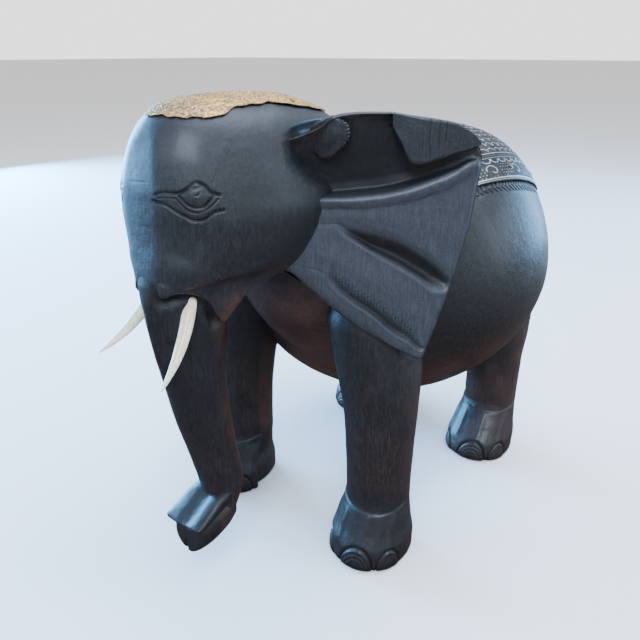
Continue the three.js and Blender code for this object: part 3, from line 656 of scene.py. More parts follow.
def both_eyes(points, path):
    """Distance to a path on the left cheek or to its mirror image on the right."""
    return away(points * np.where(points[..., :1] < 0, [-1, 1, 1], 1), path)


BROW_BONE = [(14, -322, 462), (19, -327, 442), (21, -329, 430), (22, -329, 416), (22, -329, 398),
             (17, -331, 374)]
CHEEK_HOLLOW = [(24, -329, 392), (33, -325, 384), (42, -320, 390)]
FACET = [(-333, 371), (-323, 367), (-311, 361), (-300, 350), (-290, 338)]
CHIPS = [(38, -323, 408.0), (46, -317, 402.5), (50, -313, 403)]
SWEEP, EAR_FOOT = math.radians(38), np.array([84, -200, 0.0])
ALONG = np.array([math.cos(SWEEP), math.sin(SWEEP), 0])
PROUD = np.array([math.sin(SWEEP), -math.cos(SWEEP), 0])
# height, and how far along the ear its root line stands
EAR_ROOT = [(300, -34), (342, -30.5), (358, -13), (373, -5), (392, 0), (410.6, 4.3), (428.5, -13),
            (443, -25.5), (465, -29.5), (480, -20), (500, -10)]


def give_way(points):
    """Keeps the skull behind a slope that falls to the ear's face at its root line."""
    sides = np.where(points[..., :1] < 0, [-1, 1, 1], 1)
    own = points * sides
    flat = own - EAR_FOOT
    u, h = flat @ ALONG, flat @ PROUD
    root = curve(EAR_ROOT, own[..., 2])[..., 0]
    free = 60 * rise(root - u, -1, 6) * rise(own[..., 2], 344, 374)
    most = np.where(u < root, 0.75 * (root - u), 2.0 * (root - u)) + free
    soft = 2.5
    cut_h = -soft * np.logaddexp(-h / soft, -most / soft)
    return (own + (cut_h - h)[..., None] * PROUD) * sides


turn = steps((-100, -80, 16), (-80, -40, 96), (-40, 220, 120), (220, 260, 96))[None] * deg
z = steps((496.3, 440, 34), (440, 400, 62), (400, 352, 30), (352, 350, 1))[:, None]
upper = skull(turn, z)
edge = skull(turn, np.array([[348.0]]))[0]
lip_x, lip_z = columns(LIP, edge[:, 1])
lip = np.stack([lip_x * np.sign(np.cos(turn[0])), edge[:, 1], lip_z], -1)
lip[:, 1] += 14 * fade(np.abs(edge[:, 0]), 9, 15) * (edge[:, 1] < -300)
down = np.linspace(0, 1, 22)[:, None, None]
cheek = edge + (lip - edge) * down
turned = [lip + (np.array([0, -245, 0]) - lip) * [k, k * 0.5, 0] + [0, 0, h]
          for k, h in ((0.05, -0.8), (0.12, 0.3), (0.3, 4), (0.7, 12))]
surface = np.concatenate([upper, cheek, np.array(turned)], 0)
surface = give_way(surface)
out = normals(surface)
push = 0.45 * waves(surface, 46, 7) + 0.2 * waves(surface, 19, 8)
cut = np.zeros(surface.shape[:2])
for path, wide, deep in EYE_LINES.values():
    near = ridge(both_eyes(surface, line(path, np.linspace(0, 1, 40))), wide)
    near = near * np.where(surface[..., 0] < 0, rise(-surface[..., 0], 24, 32), 1)
    push = push - deep * near
    cut = np.maximum(cut, near)
ball = both_eyes(surface, np.array([(47, -313.5, 423), (48, -312.5, 423)]))
push = push + 1.6 * ridge(ball, 6.5)
hollow = both_eyes(surface, line(CHEEK_HOLLOW, np.linspace(0, 1, 9)))
facet_z = curve(FACET, surface[..., 1])[..., 0]
above = rise(surface[..., 2], facet_z - 6, facet_z + 8)
aside = rise(np.abs(surface[..., 0]), 8, 34)
aside *= np.where(surface[..., 0] > 0, 1, 0.25)
push = push - 2.6 * ridge(hollow, 19) * above * aside
brow = line(BROW_BONE, np.linspace(0, 1, 12))
push = push + 1.1 * ridge(both_eyes(surface, brow), 9)
low_cheek = (1 - above) * fade(surface[..., 1], -300, -285) * rise(surface[..., 2], 335, 345)
push = push + low_cheek * aside
nose = fade(np.abs(surface[..., 0]), 8, 28) * fade(surface[..., 2], 338, 388)
nose = nose * (surface[..., 1] < -300)
push = push + 5.2 * nose
for y, z_mark in ((-324, 463), (-332, 433), (-333, 396)):
    tick = away(surface, np.array([(-9, y, z_mark), (12, y, z_mark + 1)]))
    push = push - 0.25 * ridge(tick, 0.8)
surface = surface + out * push[..., None]
chips = ridge(both_eyes(surface, np.array(CHIPS)), 1.3)
chips *= rise(waves(surface, 5, 9), -0.05, 0.25)
# painted reflection: the jaw's underside is browned, standing in for a warm floor seen in the
# polish
warm = 1.1 * fade(surface[..., 2], 322, 350) * rise(surface[..., 1], -300, -270)
# painted shade darkens the gouged eye lines; a low painted bluish sheen with dust covers the skull
skin("skull_carved", surface, EBONY, stands_for=("head_and_trunk",), cut=cut, bare=chips,
     warm=warm, dusty=0.2 + 0 * cut, matt=1 - cut)

# %% [markdown]
# The trunk is ellipses carried down a leaning path. Its tip is two lips: a square plate above,
# with a shallow channel, and a narrower tongue below with a groove down its flat face.
# %% Trunk
# step, y, z, half width, half depth, lean in degrees, how square the back is
TRUNK = [(0, -284, 402, 40, 40, 0, 2), (1, -289, 368, 40, 44.5, 0, 2),
         (2, -293, 340, 39, 45.5, 0, 1.7), (3, -294, 316, 34, 44, 0, 1.45),
         (4, -293, 280, 30, 38, 0, 1.55), (5, -290, 245, 27.5, 33, 4, 1.8),
         (6, -281, 190, 25, 28.5, 6, 1.95), (7, -270, 145, 23, 25.5, 6, 2.05),
         (8, -263, 112, 22, 24, -14, 2.1), (9, -266, 90, 22, 25, -45, 2.1),
         (10, -279, 78, 21, 26, -72, 2.1), (11, -292, 76, 20, 24, -86, 2.1),
         (12, -300, 77, 18, 20, -92, 2.1)]
CREASE = [(22, -322, 338), (28, -300, 290), (27, -292, 240), (24, -283, 190), (21, -274, 140)]
step = np.linspace(0, 12, 230)[:, None]
y, z, wide, deep, lean, square = columns(TRUNK, step[:, 0])[..., None]
turn = full_turn(150)
lean = lean * deg
power = 2 / np.where(np.sin(turn) < 0, 2.1, square)
flat = deep * signed(np.sin(turn), power)
surface = xyz(wide * signed(np.cos(turn), power), y - flat * np.cos(lean), z + flat * np.sin(lean))
out = normals(surface)
side = line(CREASE, np.linspace(0, 1, 20))
crease = ridge(both_eyes(surface, side), 5)
push = 0.5 * waves(surface, 40, 11) + 0.25 * waves(surface, 17, 12) - 1.2 * crease
under_lip = both_eyes(surface, np.array(LIP[1:7], float)[:, [1, 0, 2]] - [0, 0, 5])
tucked = ridge(under_lip, 7) * rise(np.abs(surface[..., 0]), 8, 16)
surface = surface + out * (push - 7.0 * tucked)[..., None]
# painted reflection: the trunk's back and lower part are browned, standing in for a warm floor;
# the tuck under the lip is painted shade
warm = 0.7 * rise(surface[..., 1] - y, -6, 14) + 0.35 * fade(surface[..., 2], 90, 220)
skin("trunk_carved", surface, EBONY, stands_for=("head_and_trunk",), cut=1.2 * tucked, warm=warm)


def lip_block(stations, channel, power=4.0):
    """Rings whose half width, top and bottom come from stations along Y, squared by a power."""
    k = np.linspace(0, 1, 44)
    y, wide, top, base = np.moveaxis(line(stations, k), -1, 0)[..., None]
    turn = full_turn(72)
    c, s = signed(np.cos(turn), 2 / power), signed(np.sin(turn), 2 / power)
    low = np.clip(-s, 0, 1)
    x = wide * c * (1 - channel["taper"] * low ** 2)
    z = (top + base) / 2 + (top - base) / 2 * s
    z = z - channel["deep"] * ridge(x - channel["x"], channel["wide"]) * (s > 0) * s
    return xyz(x, y, z)


# y, half width, top, bottom
UPPER_LIP = [(-262, 16, 108, 92), (-272, 22, 111, 94), (-285, 24, 109, 92), (-300, 24.5, 101, 88),
             (-314, 25, 94, 85), (-319, 24.5, 91.5, 85), (-320, 22, 90.5, 86)]
LOWER_LIP = [(-262, 19, 100, 64), (-275, 22, 98, 57), (-290, 22.5, 96, 51.5), (-303, 21, 92, 49),
             (-311, 19.5, 89, 49.5), (-314, 18, 88, 51), (-314.6, 14, 86, 55)]
upper_lip = lip_block(UPPER_LIP, {"taper": 0, "deep": 3.2, "x": 3, "wide": 7})
upper_lip = upper_lip + (normals(upper_lip) * (0.3 * waves(upper_lip, 16, 13))[..., None])
skin("trunk_upper_lip", upper_lip, EBONY, stands_for=("head_and_trunk",))
lower_lip = lip_block(LOWER_LIP, {"taper": 0.62, "deep": 0, "x": 0, "wide": 5}, power=3.0)
notch = ridge(lower_lip[..., 0] + 4, 1.8) * fade(lower_lip[..., 1], -312, -309)
lower_lip = lower_lip + notch[..., None] * [0, 3.0, 0]
# painted reflection: the lower lip's back end is browned, standing in for a warm floor; the notch
# is painted shade
skin("trunk_lower_lip", lower_lip, EBONY, stands_for=("head_and_trunk",), cut=notch * 0.7,
     warm=rise(lower_lip[..., 1], -300, -280) * 0.6)

# %% [markdown]
# Each tusk is a tapering peg bent a little along its way. It rides on its own body, because it
# only pushes into its socket.
# %% Tusks
TUSK_ROOT, BOW = np.array([25, -311, 329.0]), 7
TUSKS = {"left": (1, np.array([42, -361, 269.0])), "right": (-1, np.array([42, -361, 281.0]))}
k = np.linspace(0, 1, 90)[:, None]
turn = full_turn(40)
for side, (hand, tip) in TUSKS.items():
    run = (tip - TUSK_ROOT) / np.linalg.norm(tip - TUSK_ROOT)
    bend = np.cross([1, 0, 0], run)
    bend /= np.linalg.norm(bend)
    across = np.cross(bend, run)
    root = TUSK_ROOT - run * 8
    middle = root + (tip - root) * k + bend * BOW * 4 * k * (1 - k)
    radius = curve([(0, 6.4), (0.2, 6.3), (0.45, 5.6), (0.8, 3.2), (0.95, 1.5), (1, 0.7)], k[:, 0])
    ring = np.cos(turn)[..., None] * across + np.sin(turn)[..., None] * bend * 0.92
    surface = middle[:, None] + radius[:, None] * ring
    surface = surface + ring * (0.12 * waves(surface, 12, 14))[..., None]
    stripe = ridge(turn - 4.3, 0.5) * rise(1 - k, 0.15, 0.4)
    # the root's dark mark is a painted shadow of the lip over the socket
    skin(f"{side}_tusk_ivory_tone", surface * [hand, 1, 1], TUSK_CREAM, f"tusk_{side}",
         "tusk_cream", (f"{side}_tusk",), stripe=stripe, cut=fade(k, 0.02, 0.10) + 0 * stripe)

# %% [markdown]
# A leg is rings of near-ellipses, flared over the toes. The foot is cut in flat facets that meet
# at soft ridges, under a ledge where the stain was rubbed through.
# Each nail is a bulge with a gouge round it and fine ridges inside.
# %% Legs
# z, share of the toes' reach, half width, half length
FOOT_RINGS = [(-0.01, 1, 39, 44), (1.5, 1, 41.5, 46.5), (8, 1, 43.5, 49), (22, 0.9, 43.5, 48),
              (42, 0.55, 39.5, 41), (58, 0.2, 36.2, 37), (66, 0.08, 35, 35.2), (74, 0, 35, 35)]
# z, how far back, half width, half length
FRONT_SHAFT = [(100, 0, 35.2, 35.5), (130, 0, 36, 37), (180, 1, 39, 41), (230, 3, 43, 48),
               (275, 3, 44, 51), (300, 4, 37, 43), (318, 6, 20, 24)]
HIND_SHAFT = [(100, 0.5, 35.5, 35), (130, 1, 36, 35), (180, 5, 41, 41), (212, 8, 44, 45),
              (236, 10, 40, 41), (252, 12, 30, 31), (262, 13, 13, 14)]
# x, y, the toes' reach, the shaft, how much slimmer its inner side is
LEGS = {"front_left": (108.5, -127, 10.5, FRONT_SHAFT, 0),
        "front_right": (-108.5, -118, 10.5, FRONT_SHAFT, 0.2),
        "rear_left": (108.5, 161, 24, HIND_SHAFT, 0), "rear_right": (-97, 168, 24, HIND_SHAFT, 0)}
# angle, half width in degrees, height
NAILS = [(-48, 17, 24), (13, 24, 27), (62, 18, 25)]
FACETS = [-62, -22, 16, 62]


def leg(x, y, ahead, shaft, slim):
    """Rings up the leg, with facets on the foot and three nails; returns points, painted shade for
    the gouges, and brown marks.
    """
    hand = 1 if x > 0 else -1
    top = shaft[-1][0]
    z = np.r_[steps((-0.01, 34, 44), (34, 82, 40)), np.linspace(82, top, 46)][:, None]
    turn = steps((-75, 95, 190), (95, 285, 44))[None] * deg
    table = [(h, a, w, l) for h, a, w, l in FOOT_RINGS] + [(h, 0, w, l) for h, _, w, l in shaft]
    back = curve([(-0.01, 0), (74, 0)] + [(h, b) for h, b, _, _ in shaft], z[:, 0])[:, 0]
    share, wide, long = columns(table, z[:, 0])[..., None]
    inward = 22 if shaft is FRONT_SHAFT else 14
    lean = curve([(-0.01, 0), (150, 0), (top, inward)], z[:, 0])[..., :1]
    # turn is 0 at the front of the foot and grows toward the outer side
    u = signed(np.sin(turn), 0.92)
    v = -signed(np.cos(turn), 0.92)
    flare = 1 - slim * rise(turn / deg, 190, 240) * fade(z, 40, 70)
    px = (abs(x) - lean) + wide * u * flare
    py = y + back[:, None] - ahead * share + long * v
    points = xyz(px, py, z)
    out = normals(points) * [1, 1, 0.3]
    angle = turn / deg
    foot = 1 - rise(z, 50, 66)
    edge = np.min([np.abs(angle - f) for f in FACETS], 0)
    push = 1.7 * ridge(edge, 6) * foot * rise(z, 20, 30)
    ledge_z = 62 + 8 * np.abs((angle - 20) / 80) ** 1.5
    ledge = fade(z, ledge_z - 1.2, ledge_z + 1.2) * rise(z, 30, 60) * fade(angle, 80, 110)
    push = push + 1.4 * ledge
    cut = np.zeros(points.shape[:2])
    for middle, width, height in NAILS:
        reach = np.hypot((angle - middle) / width, z / height)
        inner = 1 - rise(reach, 0.93, 1.0)
        gouge = ridge(reach - 1.04, 0.07)
        ridges = np.cos(reach * 2 * np.pi * 5.5) * rise(reach, 0.35, 0.6) * inner
        push = push + inner * (1.6 + 0.28 * ridges) * (1.1 - 0.5 * reach ** 2) - 1.9 * gouge
        # painted shade: the gouge round each nail is painted near black
        cut = np.maximum(cut, 0.9 * gouge)
    uneven = 0.5 * waves(points, 50, int(abs(x) + y) % 97) + 0.25 * waves(points, 20, 5)
    push = push + uneven * rise(z, 2, 10)
    push = push - 0.7 * fade(z, 0, 2.5)
    points = points + out * push[..., None]
    points[..., 2] = np.maximum(points[..., 2], 0)
    warm = (0.30 + 0.5 * rise(angle, 55, 120)) * fade(z, 120, 330) * rise(z, 60, 90) + 0 * cut
    return points * [hand, 1, 1], cut, warm


for name, measures in LEGS.items():
    surface, cut, warm = leg(*measures)
    if name.startswith("rear"):
        warm = warm + 0.55
    skin(f"{name}_leg_carved", surface, EBONY, stands_for=(f"{name}_leg",), cut=cut, warm=warm)

# %% [markdown]
# An ear is a thick slab that stands off the head at an angle. Its front is carved in folds, and
# each fold is a line from the root to the rim: how far along, how high, how far proud.
# Rows of the grid are spaced between those lines, so every crease falls on a row.
# %% Ears
# rows down to the next fold, then the fold's points
FOLDS = [
    (3, [(-50, 454, 0), (-29, 460, 0), (-16, 464, 0), (-1, 471, 0), (8, 477.5, 0), (22, 481, 0),
         (40, 482, 0), (60, 482, 0), (76, 479, -1), (98, 476, -1), (114, 473, -1), (126, 466, -1),
         (130, 462, 0)]),
    (3, [(-50, 450, -3), (-29, 456, -3), (-16, 460, -3), (-1, 467, -2), (8, 473, -2),
         (22, 477, -3), (40, 478, -5), (60, 478, -7), (76, 475, -8), (98, 471, -8), (114, 468, -8),
         (128, 461, -4), (134.5, 457, 0)]),
    (10, [(-48, 444, -6), (-27, 447, -6), (-16, 451, -6), (0, 457, -6), (22, 465, -6),
          (40, 466, -8), (60, 466, -10), (76, 463, -12), (98, 459, -12), (114, 457, -11),
          (130, 455, -6), (137.5, 453, 0)]),
    (9, [(-45, 433, -10), (-20, 434, -12), (0, 437, -13), (22, 441, -13), (40, 443, -14),
         (60, 444, -15), (80, 445, -14), (100, 447, -12), (118, 450, -9), (132, 451, -4),
         (139, 449.5, 0)]),
    (6, [(-38, 420, -13), (-12, 420, -16), (5, 420, -17), (28, 422, -18), (52.6, 425, -18),
         (77, 430, -17), (101, 436.5, -13), (117, 442, -9), (132, 446.5, -4), (139.8, 446.5, 0)]),
    (3, [(-30, 412, -11), (-8, 411.3, -14), (5, 412, -16), (28, 413.6, -17), (52.6, 416.2, -17),
         (77, 422, -15), (101, 430.2, -11), (117, 436.6, -7), (132, 444.1, -3), (140, 444.6, 0)]),
    (3, [(-28, 410, 0), (-8, 409.5, 1), (4.3, 410.4, 3), (28, 412, 4), (52.6, 414.5, 4),
         (77, 420.2, 4), (101, 428.2, 3), (116.5, 434.6, 2), (130, 441.5, 1), (140.2, 442, 0)]),
    (3, [(-27, 407, 1), (-8, 406.5, 2.5), (6.5, 407, 5), (28, 407.5, 7), (53, 409.8, 7),
         (77, 414.6, 7), (101, 422.4, 6), (117, 429.5, 4.5), (130, 437.5, 3), (140.3, 439, 0)]),
    (3, [(-26, 403, 0.5), (-8, 403, 1), (8.5, 402.8, 3), (28.3, 402.8, 4), (53, 405, 4),
         (77.4, 409.2, 4), (101.5, 416.6, 3), (117.4, 423.3, 2), (130, 431.5, 1), (140, 434, 0)]),
    (8, [(-26, 400, 0), (-8, 400, 0), (8.5, 400.3, 0.4), (28.3, 400.3, 0.4), (53, 402.5, 0.4),
         (77.4, 406.7, 0.4), (101.5, 414, 0.3), (117.4, 420.5, 0.2), (130, 428.5, 0),
         (139.8, 431, -1)]),
    (7, [(-26, 393, 0), (0, 392.5, 0.6), (28.5, 393, 1), (53, 391.5, 1.2), (76, 389, 1.2),
         (98, 385, 1), (118, 381, 0.4), (134.5, 385, -1)]),
    (6, [(-28, 388, 0), (11.5, 388.3, -0.2), (28.6, 386, -0.2), (53.7, 381.5, -0.2),
         (74, 373.4, -0.2), (96.7, 359.8, -0.2), (113, 346, -0.2), (124.8, 341, -1)]),
    (3, [(-29, 386, 0), (11.3, 386.3, -1), (28.7, 378, -5), (49, 367.5, -7.5), (70, 359.8, -8.5),
         (91.5, 347.5, -8.5), (108.5, 336.5, -7), (116.5, 332, -5), (123, 333, -1)]),
    (3, [(-30, 384, 0), (11.1, 384.6, -0.6), (28.8, 375.2, -6), (47.6, 363.4, -9.5),
         (68.2, 353.8, -10.5), (89.3, 341.4, -10.5), (107, 331.5, -8.5), (117, 328, -5.5),
         (121.6, 329.5, -1)]),
    (4, [(-31, 382, 0), (10, 382.5, 0), (22, 375, 0.8), (47.7, 358.9, 1.6), (68.6, 346.5, 1.8),
         (87.1, 335.5, 2.0), (104.6, 323, 1.8), (116.3, 321, 0.5), (120, 323, -1)]),
    (10, [(-34, 375, 0), (6, 374, 0), (22, 368, 0.6), (47, 353, 1.2), (67, 341, 1.4),
          (86, 329, 1.6), (104, 316.5, 1.2), (118.3, 315.5, -1)]),
    (8, [(-38, 361, 0), (4, 356, 0.8), (30, 343, 2.0), (55, 326, 2.4), (76, 310, 2.2),
         (96, 294, 1.4), (110.5, 289, -1)]),
    (5, [(-40, 352, 0), (2, 341.3, 0), (10.6, 338.2, 0), (29.7, 323.7, 0), (49.1, 310.9, 0),
         (65.3, 297.8, 0), (83.5, 284.6, 0), (96, 269, 0), (103.7, 267, -1)]),
    (2, [(-40.5, 350.5, 0), (2, 340, -0.5), (9.8, 331, -3.5), (28.9, 313.8, -5.6),
         (49.7, 299.1, -6.2), (66.2, 284.1, -6.2), (84.4, 272.4, -5), (98.2, 262.3, -3),
         (102.8, 263, -1)]),
    (3, [(-41, 349, 0), (1.5, 338.2, 0), (8.9, 327.3, 0.3), (28.2, 310.8, 0.6), (49.6, 295.9, 0.8),
         (66, 280.7, 0.8), (84.2, 269.1, 0.6), (97.5, 259.8, 0), (102, 260.3, -1)]),
    (5, [(-42, 347.5, -0.4), (0, 332.5, -0.6), (8, 322, -0.6), (28.2, 305.8, -0.6),
         (49.6, 290.9, -0.6), (66, 276.4, -0.6), (84, 265, -0.6), (97.5, 257.4, -0.8),
         (101.4, 257.6, -1.2)]),
    (2, [(-46, 346, -2), (-30.6, 341.3, -1), (-13.5, 326, -1), (7.3, 307.6, -1), (30.4, 288.8, -1),
         (57.4, 271.6, -1), (79.4, 259, -1), (95, 252.6, -1.2), (100.7, 254, -1.8)]),
    (0, [(-46, 345.4, -4), (-30.6, 340.6, -2.5), (-13.5, 325.2, -2.5), (7.3, 306.8, -2.5),
         (30.4, 288, -2.5), (57.4, 270.8, -2.5), (79.4, 258.2, -2.5), (95, 251.6, -2.5),
         (100.3, 252.8, -2.8)]),
]
TICK_ROW = 17
SCRATCHES = [((-6, 432, 0), (5, 428, 0)), ((-2, 429, 0), (8, 426, 0)), ((30, 442, 0),
             (34, 434, 0)), ((36, 431, 0), (40, 436, 0))]
BACK_GAP, THICK = 6, [(0, 22), (0.5, 19), (0.8, 12), (1, 6.5)]


def in_space(flat):
    """Points from an ear's own measures (along, height, proud), on the left of the head."""
    return EAR_FOOT + flat[..., :1] * ALONG + flat[..., 2:] * PROUD + flat[..., 1:2] * [0, 0, 1]


shares = np.r_[steps((0, 0.94, 118), (0.94, 0.985, 10)), np.linspace(0.985, 1, 6)]
lines = np.array([line(points, shares) for _, points in FOLDS])
counts = [n for n, _ in FOLDS[:-1]]
row = np.concatenate([k + np.arange(n) / n for k, n in enumerate(counts)] + [[len(counts)]])
low = np.minimum(row.astype(int), len(FOLDS) - 2)
part = (row - low)[:, None, None]
front = lines[low] * (1 - part) + lines[low + 1] * part
heights = front[..., 2]
heights[1:-1] = (heights[:-2] + 2 * heights[1:-1] + heights[2:]) / 4
in_row = rise(row, TICK_ROW - 0.6, TICK_ROW) * fade(row, TICK_ROW + 0.5, TICK_ROW + 0.9)
ticks = slots(front[..., 0] / 3.0, 0.22) * rise(front[..., 0], 2, 12) * fade(front[..., 0], 88, 98)
ticks = ticks * in_row[:, None]
heights -= 0.9 * ticks
seam = ridge(front[..., 0] - 60, 0.7) * (0.25 + 0.75 * rise(front[..., 1], 440, 470))
heights -= 0.8 * seam
scratches = np.zeros_like(heights)
for scratch in SCRATCHES:
    scratches += ridge(away(front * [1, 1, 0], np.array(scratch, float)), 0.7)
heights -= 0.5 * scratches
heights += 0.35 * waves(front * [1, 1, 0], 26, 21) + 0.15 * waves(front * [1, 1, 0], 9, 22)
rim = rise(shares, 0.975, 1.0)[None] * 3.2
heights -= rim
thick = curve(THICK, shares)[:, 0][None]
dip = heights.copy()
for _ in range(30):
    dip[1:-1] = (dip[:-2] + dip[1:-1] + dip[2:]) / 3
deep = np.minimum(-BACK_GAP - thick * 0.75, dip - 5) + BACK_GAP * rise(shares, 0.9, 1)[None]
back = front * [1, 1, 0] + deep[..., None] * [0, 0, 1]
print("ear grid:", front.shape[:2], "rows of folds:", len(FOLDS))
sunk = (rise(row, 1.5, 2.6) * fade(row, 4.9, 5.3))[:, None] * fade(front[..., 0], 118, 134)
valley = rise(-heights, 1.5, 7) * (rise(row, 6, 8) * fade(row, 20, 22))[:, None]
# painted shade: the sunk hollow, the valleys and the nicks are painted darker; the seam's dark
# line is a glue joint
shade = slab_mark(np.maximum.reduce([ticks * 0.8, seam * 0.6, 0.55 * sunk, 0.5 * valley]))
top_brown = (rise(row, 1, 3) * fade(row, 3, 6))[:, None] * rise(front[..., 0], 66, 90)
warm = slab_mark(0.7 * top_brown, 0.5 + 0 * heights)
# painted sheen: bluish grey on the folds, stronger on the ridges than in the valleys, mixed with
# dust
dusty = slab_mark(0.75 * (rise(row, 4.8, 6.5) * fade(row, 20, 22))[:, None] * (1 - valley))
for side, hand in SIDES.items():
    rings = slab_rings(in_space(front), in_space(back)) * [hand, 1, 1]
    boards = (f"{side}_ear_inner_board", f"{side}_ear_outer_board")
    skin(f"{side}_ear_carved", rings, EBONY, stands_for=boards, cut=shade, warm=warm, dusty=dusty)

# %% [markdown]
# Two more pieces of the ear stand in front of its hollow: the folded outer flap, cut to a wavy
# lower edge, and a rounded lobe whose edge is nicked along one side.
# %% Ear flap and lobe
FLAP_TOP = [(60.4, 483, 0), (76, 480.5, 0), (98, 477.5, 0), (114, 474.5, 0), (127, 468, 0),
            (134, 462.5, 0), (137.5, 457.5, 0)]
FLAP_LOW = [(60.4, 473, 0), (63, 467, 0), (68.5, 458, 0), (74.5, 445.5, 0), (79, 440.6, 0),
            (84, 439.6, 0), (99.8, 443.4, 0), (115.4, 449, 0), (127.9, 452.8, 0),
            (137.8, 456.6, 0)]
FLAP_THICK = 7
across = np.linspace(0, 1, 110)
top, low_edge = line(FLAP_TOP, across), line(FLAP_LOW, across)
k = np.r_[0, 0.012, 0.035, np.linspace(0.07, 0.93, 34), 0.965, 0.988, 1][:, None, None]
flap = top + (low_edge - top) * k
from_ends = np.minimum(rise(across, 0, 0.012), rise(1 - across, 0, 0.012))[None]
edge = np.minimum(np.minimum(rise(k[..., 0], 0, 0.04), rise(1 - k[..., 0], 0, 0.05)), from_ends)
crack = np.zeros(flap.shape[:2])
for at, upto in ((93, 0.95), (101, 0.75), (107, 0.6)):
    wander = at + 0.4 * np.sin(flap[..., 1] / 5)
    crack += ridge(flap[..., 0] - wander, 0.45) * fade(k[..., 0], upto - 0.1, upto)
crack = np.clip(crack, 0, 1)
swell = 1.2 * np.sin(np.pi * across)[None] * (1 - k[..., 0])
bulge = 1.6 + 0.9 * edge + 0.4 * waves(flap, 22, 31) - 0.7 * crack + swell
front_flap = flap + bulge[..., None] * [0, 0, 1]
back_flap = flap - (FLAP_THICK - 1.2 * (1 - edge))[..., None] * [0, 0, 1]
FLAP_WOOD = stained_wood("ebony_flap_grain", (1, 1, 0.05), 0.6)
for side, hand in SIDES.items():
    rings = slab_rings(in_space(front_flap), in_space(back_flap)) * [hand, 1, 1]
    # painted shade in the cracks, and a painted bluish sheen with dust over the flap
    skin(f"{side}_ear_flap", rings, FLAP_WOOD, stands_for=(f"{side}_ear_outer_board",),
         cut=slab_mark(crack), dusty=slab_mark(0.35 + 0 * crack))

# the lobe's outline, then its section: share of the outline, how far proud
LOBE = [(9.6, 480, 0), (19, 477.5, 0), (24.3, 472.4, 0), (26, 464.8, 0), (22.5, 457, 0),
        (16.5, 450.5, 0), (9.8, 445.3, 0), (1.8, 442.1, 0), (-6.3, 446, 0), (-12, 456, 0),
        (-10, 468, 0), (0, 476, 0), (9.6, 480, 0)]
around = np.linspace(0, 1, 180, endpoint=False)
outline = line(LOBE, around)
centre = np.array([4, 463, 0.0])
profile = [(0.0, 5.5), (0.3, 5.2), (0.55, 4.6), (0.72, 4.4), (0.86, 4.2), (0.94, 3.2), (0.99, 1.0),
           (1.0, -2), (0.97, -10), (0.5, -14)]
grid = np.array([centre + (outline - centre) * r + [0, 0, h] for r, h in profile])
fine = np.linspace(0, len(profile) - 1, 60)
order = np.arange(len(profile))
lobe = np.stack([curve(np.c_[order, grid[..., n]], fine) for n in range(3)], -1)
nicked = (around < 0.5) * rise(around, 0.02, 0.08) * fade(around, 0.40, 0.47)
nick = slots(around * 34, 0.2) * (rise(fine, 3, 5) * fade(fine, 7, 8))[:, None] * nicked
lobe_out = normals(lobe)
rounding = 2.5 * rise(lobe[..., :1], 8, 22) * (lobe[..., 2:] > 0)
tilt = (0.42 * (lobe[..., :1] - 22) - rounding) * [0, 0, 1]
lobe = lobe + lobe_out * (-0.7 * nick)[..., None] + tilt
for side, hand in SIDES.items():
    # painted shade: the nicks along the edge are painted dark
    skin(f"{side}_ear_lobe", in_space(lobe) * [hand, 1, 1], EBONY,
         stands_for=(f"{side}_ear_inner_board",), cut=nick * 0.8)

# %% [markdown]
# The crown is thin brass, hammered down over the top of the skull. Its dents are rounded cells,
# each point rising with its distance from the nearest hammer mark.
# %% Crown sheet
MARK_STEP, MARK_SHIFT = 3.4, 1.3
# angle round the skull, height of the sheet's edge
EDGE_Z = [(-180, 484), (-165, 485.5), (-140, 487), (-112, 484), (-98, 482), (-83, 482.6),
          (-71, 482.4), (-61, 481.4), (-51, 481.3), (-43, 481.8), (-36, 483), (-28, 486),
          (-18, 488), (-5, 489), (12, 487), (25, 484.5), (34, 481.5), (42, 479), (60, 476),
          (75, 474.5), (90, 475), (110, 478), (130, 482), (155, 485), (180, 484)]
sheet_turn = np.linspace(-180, 180, 330, endpoint=False)
edge_z = curve(EDGE_Z, sheet_turn)[:, 0]
edge_z = edge_z + 0.5 * np.sin(sheet_turn / 5) + 0.35 * np.sin(sheet_turn / 2.3)
share = np.r_[np.linspace(0, 0.97, 100), 0.985, 1.0][:, None]
top_z = 496.4
drop = top_z + (edge_z - top_z) * share ** 1.7
crown = skull(sheet_turn[None] * deg, drop)
draw = np.random.default_rng(5)
grid = np.meshgrid(np.arange(-60, 60, MARK_STEP), np.arange(-318, -116, MARK_STEP))
grid = np.stack(grid, -1).reshape(-1, 2)
marks = grid + draw.uniform(-MARK_SHIFT, MARK_SHIFT, grid.shape)
gap = np.full(crown.shape[:2], 99.0)
for mark in marks:
    gap = np.minimum(gap, np.hypot(crown[..., 0] - mark[0], crown[..., 1] - mark[1]))
pit = rise(gap, 0.9, 2.4)
lift_edge = rise(share, 0.8, 1.0) * ridge(sheet_turn - 18, 30)[None]
lift = 1.4 + 0.75 * (1 - pit) + 0.9 * lift_edge + 0.25 * waves(crown, 30, 41)
out = normals(crown)
out[0] = [0, 0, 1]
upper_face = crown + out * lift[..., None]
lower_face = crown + out * (lift - 1.0)[..., None]
rolled = (upper_face[-1:] + lower_face[-1:]) / 2 + (upper_face[-1:] - upper_face[-2:-1]) * 0.15
rings = np.concatenate([upper_face, rolled, lower_face[::-1]], 0)
pits = np.concatenate([pit, pit[-1:] * 0 + 0.8, pit[::-1] * 0 + 1], 0)
skin("crown_brass_hammered", rings, BRASS, slot="brass_sheet", stands_for=("crown_sheet",),
     pit=pits)

# %% [markdown]
# The saddle sheet lies over the back, embossed with a border, scales, rows of dots and scrolls.
# The pattern is worked out in millimetres from the sheet's edges, and raises the same grid.
# %% Saddle sheet
NECK_AXIS = 320


